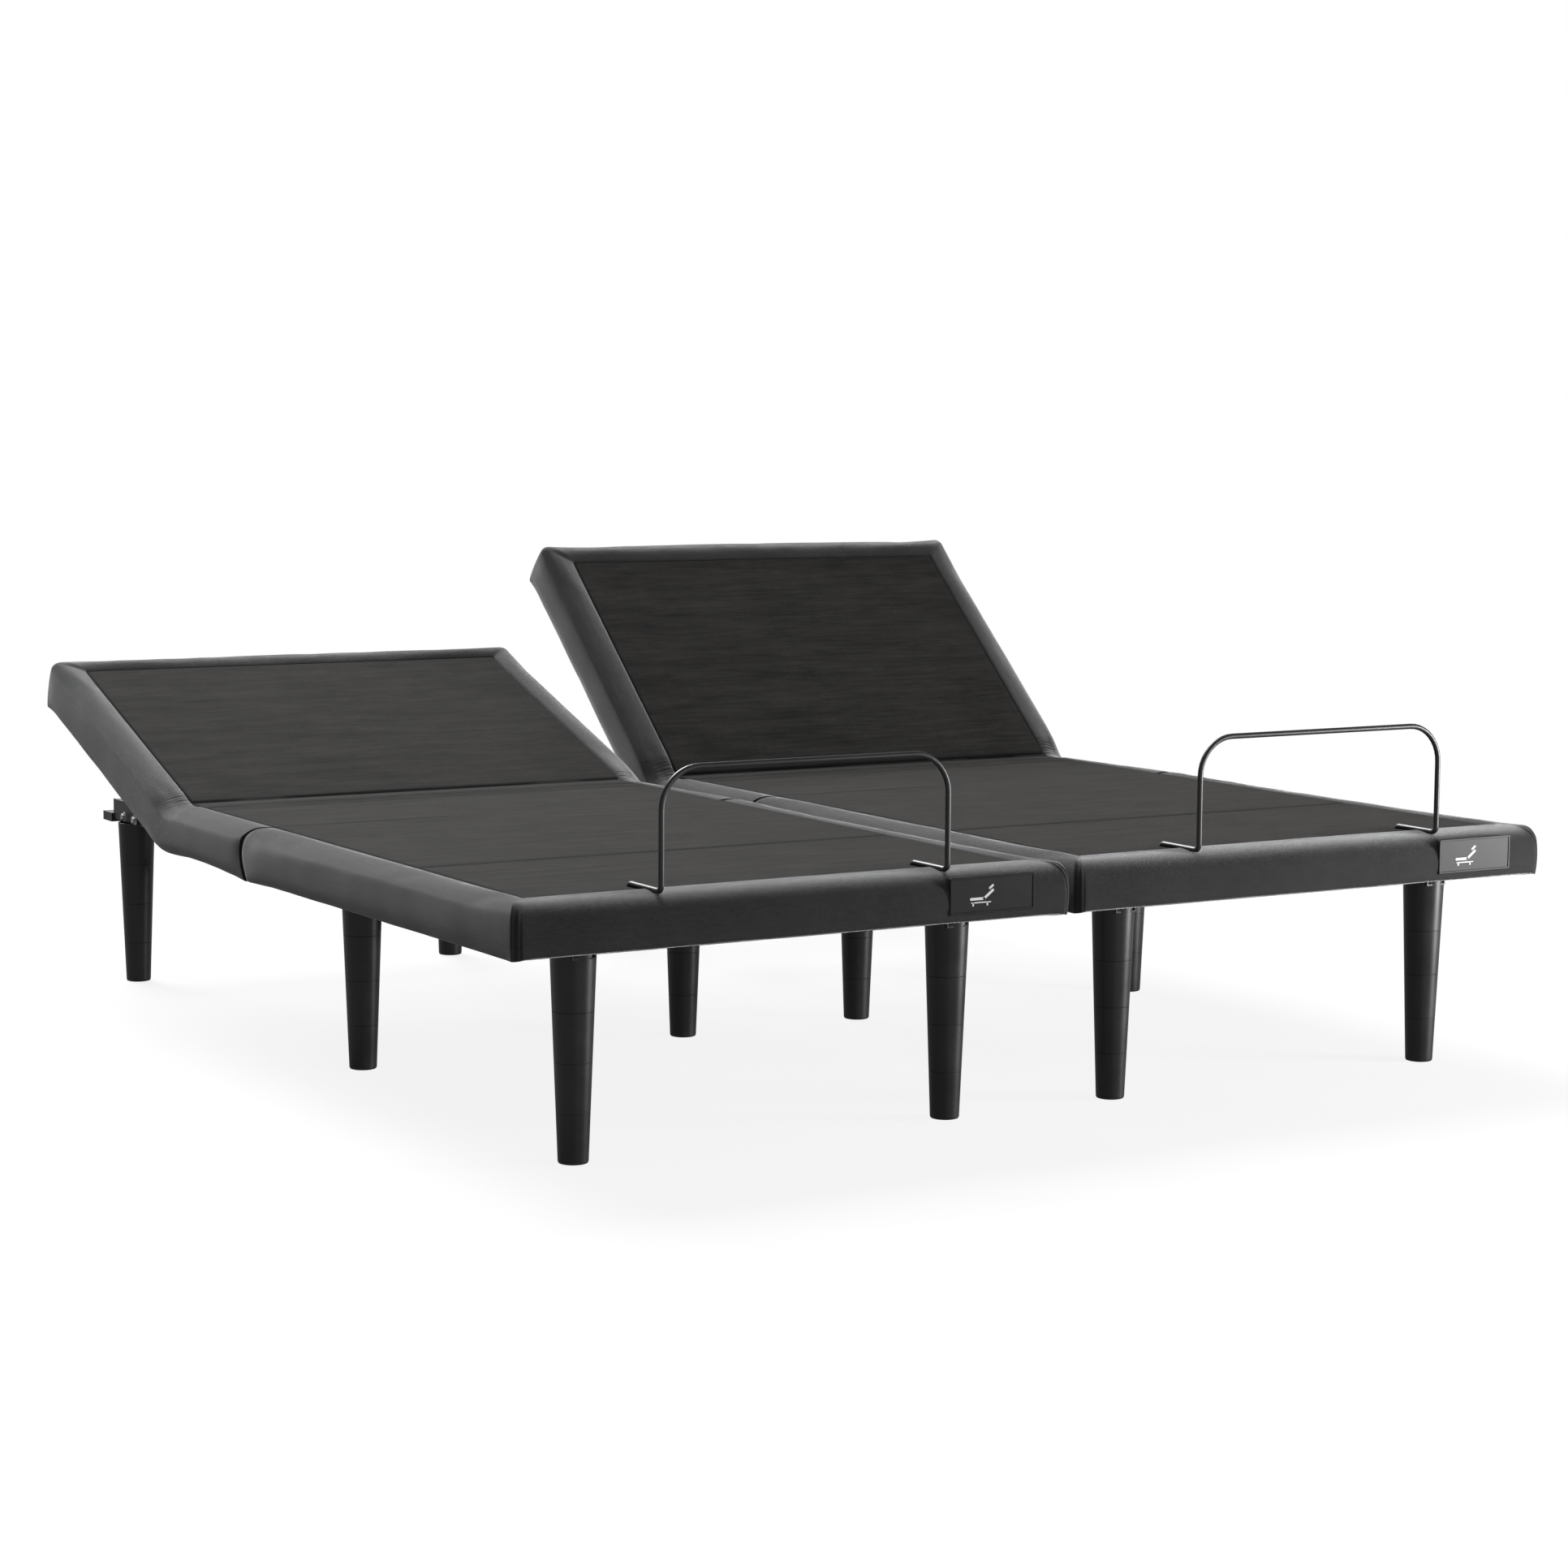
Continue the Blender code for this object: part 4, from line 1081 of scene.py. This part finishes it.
def make_retainer(side):
    node = f"{side}_retainer_bar"
    low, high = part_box(node)
    near_x, far_x = low.x + BAR_RADIUS, high.x - BAR_RADIUS
    post_y, hole_y = low.y + BAR_RADIUS, high.y - BAR_RADIUS
    level = DECK_TOP + BAR_ABOVE_DECK
    top = high.z - BAR_RADIUS
    bends = [(hole_y, low.z), (hole_y, level), (post_y, level), (post_y, top)]
    points = [(near_x, *bend) for bend in bends] + [(far_x, *bend) for bend in reversed(bends)]
    radii = (BAR_BEND, BAR_BEND, BAR_CORNER, BAR_CORNER, BAR_BEND, BAR_BEND)
    bar = tube(f"{side}_retainer", rounded_route(points, radii), BAR_RADIUS, BAR_STEEL)
    declare(bar, f"{side}_foot", "black_steel", node)
    # dark rings round the bar holes: painted shade where the bar goes into the deck, and a cover for each hole's
    # edge
    rings = []
    for x in (near_x, far_x):
        ring = lathe("ring", EYELET_PROFILE, 40)
        ring.transform(Matrix.Translation((x, hole_y, DECK_TOP - PANEL_LEVEL)))
        rings.append(ring)
    eyelets = joined(f"{side}_retainer_eyelets", rings, EYELET_PAINTED_SHADE)
    declare(eyelets, f"{side}_foot", "leg_plastic")


# ---- plaques ----


def rounded_outline(low_x, high_x, low_z, high_z, radius, y, steps=6):
    """A rounded rectangle that faces -y."""
    corners = (
        (high_x - radius, high_z - radius, 0),
        (low_x + radius, high_z - radius, 90),
        (low_x + radius, low_z + radius, 180),
        (high_x - radius, low_z + radius, 270),
    )
    points = []
    for x, z, turn in corners:
        for step in range(steps + 1):
            angle = math.radians(turn + 90 * step / steps)
            points.append((x + radius * math.cos(angle), y, z + radius * math.sin(angle)))
    return points


def plate_mesh(name, outlines):
    """A plate from nested outlines, each joined to the next by a wall, with both ends closed."""
    bm = bmesh.new()
    rings = [[bm.verts.new(point) for point in outline] for outline in outlines]
    for first, second in zip(rings, rings[1:]):
        for index in range(len(first)):
            beside = (index + 1) % len(first)
            bm.faces.new((first[index], first[beside], second[beside], second[index]))
    bm.faces.new(rings[0])
    bm.faces.new(rings[-1])
    return finished_mesh(bm, name)


def make_plaque(side):
    node = f"{side}_plaque"
    low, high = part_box(node)
    rim = 0.0038
    recess = low.y + 0.0010

    def ring(inset, y, radius):
        return rounded_outline(low.x + inset, high.x - inset, low.z + inset, high.z - inset, radius, y)

    outlines = [
        ring(0, high.y, 0.0030),
        ring(0, low.y + 0.0008, 0.0030),
        ring(0.0008, low.y, 0.0026),
        ring(rim - 0.0006, low.y, 0.0020),
        ring(rim, recess, 0.0018),
    ]
    plate = link(f"{side}_plaque_plate", plate_mesh("plate", outlines), PLATE)
    plate.data.set_sharp_from_angle(angle=math.radians(25))
    declare(plate, f"{side}_foot", "plaque_plastic", node)
    mark = bed_mark(side, Vector(((low.x + high.x) / 2, recess, (low.z + high.z) / 2)))
    declare(mark, f"{side}_foot", "plaque_plastic")


def strip_mesh(start, end, thickness, y):
    """A flat bar with round ends between two points of the mark."""
    start, end = Vector(start), Vector(end)
    along = (end - start).normalized()
    turn = math.atan2(along[1], along[0])
    radius = thickness / 2
    outline = []
    for centre, begin in ((end, -90), (start, 90)):
        for step in range(9):
            angle = turn + math.radians(begin + 180 * step / 8)
            outline.append((centre[0] + radius * math.cos(angle), centre[1] + radius * math.sin(angle)))
    front = [(x, y - 0.0003, z) for x, z in outline]
    back = [(x, y + 0.0001, z) for x, z in outline]
    return plate_mesh("strip", [back, front])


def bed_mark(side, centre):
    """A plain pictogram of an adjustable bed: a bent mattress, a pillow and two legs."""
    left = centre.x - 0.040
    z = centre.z - 0.006
    strokes = [
        ((left, z), (left + 0.024, z), 0.0042),
        ((left + 0.024, z), (left + 0.040, z + 0.012), 0.0042),
        ((left + 0.0345, z + 0.0155), (left + 0.040, z + 0.0195), 0.0036),
        ((left + 0.004, z - 0.0065), (left + 0.004, z - 0.0100), 0.0028),
        ((left + 0.030, z - 0.0065), (left + 0.030, z - 0.0100), 0.0028),
        ((left + 0.001, z - 0.0058), (left + 0.036, z - 0.0058), 0.0018),
    ]
    strips = [strip_mesh(*stroke, centre.y) for stroke in strokes]
    return joined(f"{side}_plaque_mark", strips, MARK)


# ---- bolts of the headboard brackets ----


WASHER_PROFILE = [(0, 0), (0.0088, 0), (0.0092, 0.0004), (0.0092, 0.0011), (0.0088, 0.0015), (0, 0.0015)]
BOLT_PROFILE = [
    (0, 0.0015), (0.0066, 0.0015), (0.0068, 0.0020), (0.0068, 0.0058), (0.0060, 0.0068), (0, 0.0070)
]
BOLT_OFFSETS = (-0.0615, -0.0035)
BOLT_HEIGHT_SHARE = 0.385


def bolt_meshes(place, toward):
    """A washer and a hexagon head that face along x."""
    washer = lathe("washer", WASHER_PROFILE, 32)
    head = lathe("head", BOLT_PROFILE, 6)
    turn = Matrix.Rotation(math.radians(90) * toward, 4, "Y")
    for mesh in (washer, head):
        mesh.transform(Matrix.Translation(place) @ turn)
    return [washer, head]


def make_bracket_bolts(side):
    low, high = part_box(f"{side}_headboard_bar")
    leg_low, leg_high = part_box(f"{side}_head_leg_left")
    leg_y = (leg_low.y + leg_high.y) / 2
    z = low.z + (high.z - low.z) * BOLT_HEIGHT_SHARE
    for hand, x, toward in (("left", low.x, -1), ("right", high.x, 1)):
        meshes = []
        for offset in BOLT_OFFSETS:
            meshes += bolt_meshes((x, leg_y + offset, z), toward)
        bolts = joined(f"{side}_bracket_bolts_{hand}", meshes, ZINC)
        declare(bolts, "frame", "zinc_steel")


# ---- CAD nodes that stay ----


def dress_cad_nodes():
    slots = {entry["node"]: entry["material_slot"] for entry in frame["record"]["subparts"]}
    for name, node in NODES.items():
        material = NODE_MATERIALS[slots[name]]
        # the headboard brackets take the lighter copy of the black powder coat, which is painted light
        if name.endswith("headboard_bar"):
            material = BRACKET_STEEL_PAINTED_LIGHTER
        for slot in node.material_slots:
            slot.material = material


# ---- stage ----


def area_light(name, place, target, size, power):
    """A rectangular light that the camera doesn't see."""
    data = bpy.data.lights.new(name, "AREA")
    data.shape = "RECTANGLE"
    data.size, data.size_y = size
    data.energy = power
    light = put(name, data)
    light.visible_camera = False
    light.location = place
    light.rotation_euler = (Vector(target) - Vector(place)).to_track_quat("-Z", "Y").to_euler()


# how bright the floor and the backdrop are to the camera, and how much light they give the bed
FLOOR_SEEN, FLOOR_GLOW = 0.87, 0.18
BACKDROP_SEEN, BACKDROP_GLOW = 1.0, 0.20


def make_stage():
    """A pale floor and backdrop, a broad light from behind and three soft ones."""
    bpy.ops.mesh.primitive_plane_add(size=80, location=(0, 0, 0))
    floor = bpy.context.object
    floor.name = "floor"
    material, tree, shader = new_material("pale_floor")
    place = object_place(tree)
    mottle = noise_value(tree, place, 3.0, 3.0, 0.5)
    colour = ramp(tree, mottle, [(0.3, (0.10, 0.10, 0.10)), (0.7, (0.11, 0.11, 0.11))])
    feed_shader(shader, Base_Color=colour, Roughness=0.9, Specular_IOR_Level=0.0)
    seen = tree.nodes.new("ShaderNodeLightPath").outputs["Is Camera Ray"]
    glow = math_node(tree, "MULTIPLY_ADD", seen, FLOOR_SEEN - FLOOR_GLOW, FLOOR_GLOW)
    feed_shader(shader, Emission_Color=(1, 1, 1, 1), Emission_Strength=glow)
    floor.data.materials.append(material)
    sun = bpy.data.lights.new("key", "SUN")
    sun.energy = 4.9
    sun.angle = math.radians(35)
    put("key", sun).rotation_euler = Vector((0.0, 1.05, 1.0)).to_track_quat("Z", "Y").to_euler()
    area_light("front_right", (2.6, -2.4, 0.45), (0.9, -1.0, 0.36), (0.8, 0.9), 118)
    area_light("overhead", (-0.5, 1.0, 2.6), (-0.6, 0.1, 0.4), (1.2, 1.0), 32)
    area_light("front", (-0.5, -6.5, 1.2), (0, 0, 0.4), (3.0, 1.5), 48)
    world = bpy.data.worlds.new("studio")
    world.use_nodes = True
    tree = world.node_tree
    background = tree.nodes["Background"]
    path = tree.nodes.new("ShaderNodeLightPath")
    seen = path.outputs["Is Camera Ray"]
    strength = math_node(tree, "MULTIPLY_ADD", seen, BACKDROP_SEEN - BACKDROP_GLOW, BACKDROP_GLOW)
    tree.links.new(strength, background.inputs["Strength"])
    background.inputs["Color"].default_value = (1, 1, 1, 1)
    bpy.context.scene.world = world
    bpy.context.scene.view_settings.view_transform = "Standard"


def make_camera():
    data = bpy.data.cameras.new("camera")
    data.sensor_width = 36.0
    data.lens = 77.90
    data.clip_end = 200
    camera = put("camera", data)
    turn = Matrix.Rotation(math.radians(-30.89), 4, "Z")
    turn = turn @ Matrix.Rotation(math.radians(90 - 6.38), 4, "X")
    turn = turn @ Matrix.Rotation(math.radians(0.387), 4, "Z")
    camera.matrix_world = Matrix.Translation((-3.0815, -5.2905, 1.1155)) @ turn
    bpy.context.scene.camera = camera


# ---- making ----

make_camera()
make_stage()

H = HEAD_HINGE.y
HEAD_END_Y = HEAD_Y + HEAD_PROUD
upper_mesh, columns = upholstered_border(
    "upper_border", y_open=SPLIT_Y + 0.0012, y_closed=HEAD_END_Y, end_width=HEAD_END_Y - HEAD_INNER_Y,
    hinge_y=H, end_round=(0.004, 0.0025), raised=True, shoulder=HEAD_SHOULDER, sag_run=0.20,
    stitched=False,
)
lower_mesh, _ = upholstered_border(
    "lower_border", y_open=SPLIT_Y + 0.0002, y_closed=FOOT_Y, end_width=FOOT_INNER_Y - FOOT_Y,
    hinge_y=KNEE.y, end_round=(0.014, 0.0055), raised=False, shoulder=FOOT_SHOULDER, sag_run=1.0,
    stitched=True,
)
# the last number of each seam is its painted shade, darkening the groove
upper_seams = [
    (H + 0.008, 0.0024, 0.0045, 1.0),
    (H - 0.060, 0.0016, 0.0052, 1.0),
    (H - 0.106, 0.0004, 0.0080, 0.7),
]
upper_ridges = [(H - 0.082, 0.0024, 0.0085), (H - 0.036, 0.0018, 0.013)]
lower_seams = [(KNEE.y, 0.0012, 0.0085, 1.0)]
upper_ends = (SPLIT_Y + SPLIT_OPEN, HEAD_INNER_Y + EDGE_UNDER)
lower_ends = (FOOT_INNER_Y - EDGE_UNDER, SPLIT_Y - SPLIT_OPEN)
upper_panel = panel_mesh("upper_panel", *upper_ends, upper_seams, upper_ridges, 2.0)
lower_panel = panel_mesh("lower_panel", *lower_ends, lower_seams, [], 5.0)

for side in SIDES:
    place_upper_border(side, upper_mesh, columns)
    place_lower_border(side, lower_mesh)
    head_hinge, knee_hinge = pivot(f"{side}_head_hinge"), pivot(f"{side}_knee_hinge")
    head_bodies, foot_bodies = ("frame", f"{side}_head"), (f"{side}_foot", f"{side}_thigh")
    head_boards, foot_boards = ("seat_board", "head_board"), ("thigh_board", "foot_board")
    place_panel(side, "upper_panel", *upper_panel, head_bodies, head_hinge, TILT[side], head_boards)
    place_panel(side, "lower_panel", *lower_panel, foot_bodies, knee_hinge, 0.0, foot_boards)
    make_retainer(side)
    make_plaque(side)
    make_bracket_bolts(side)
make_legs()
dress_cad_nodes()
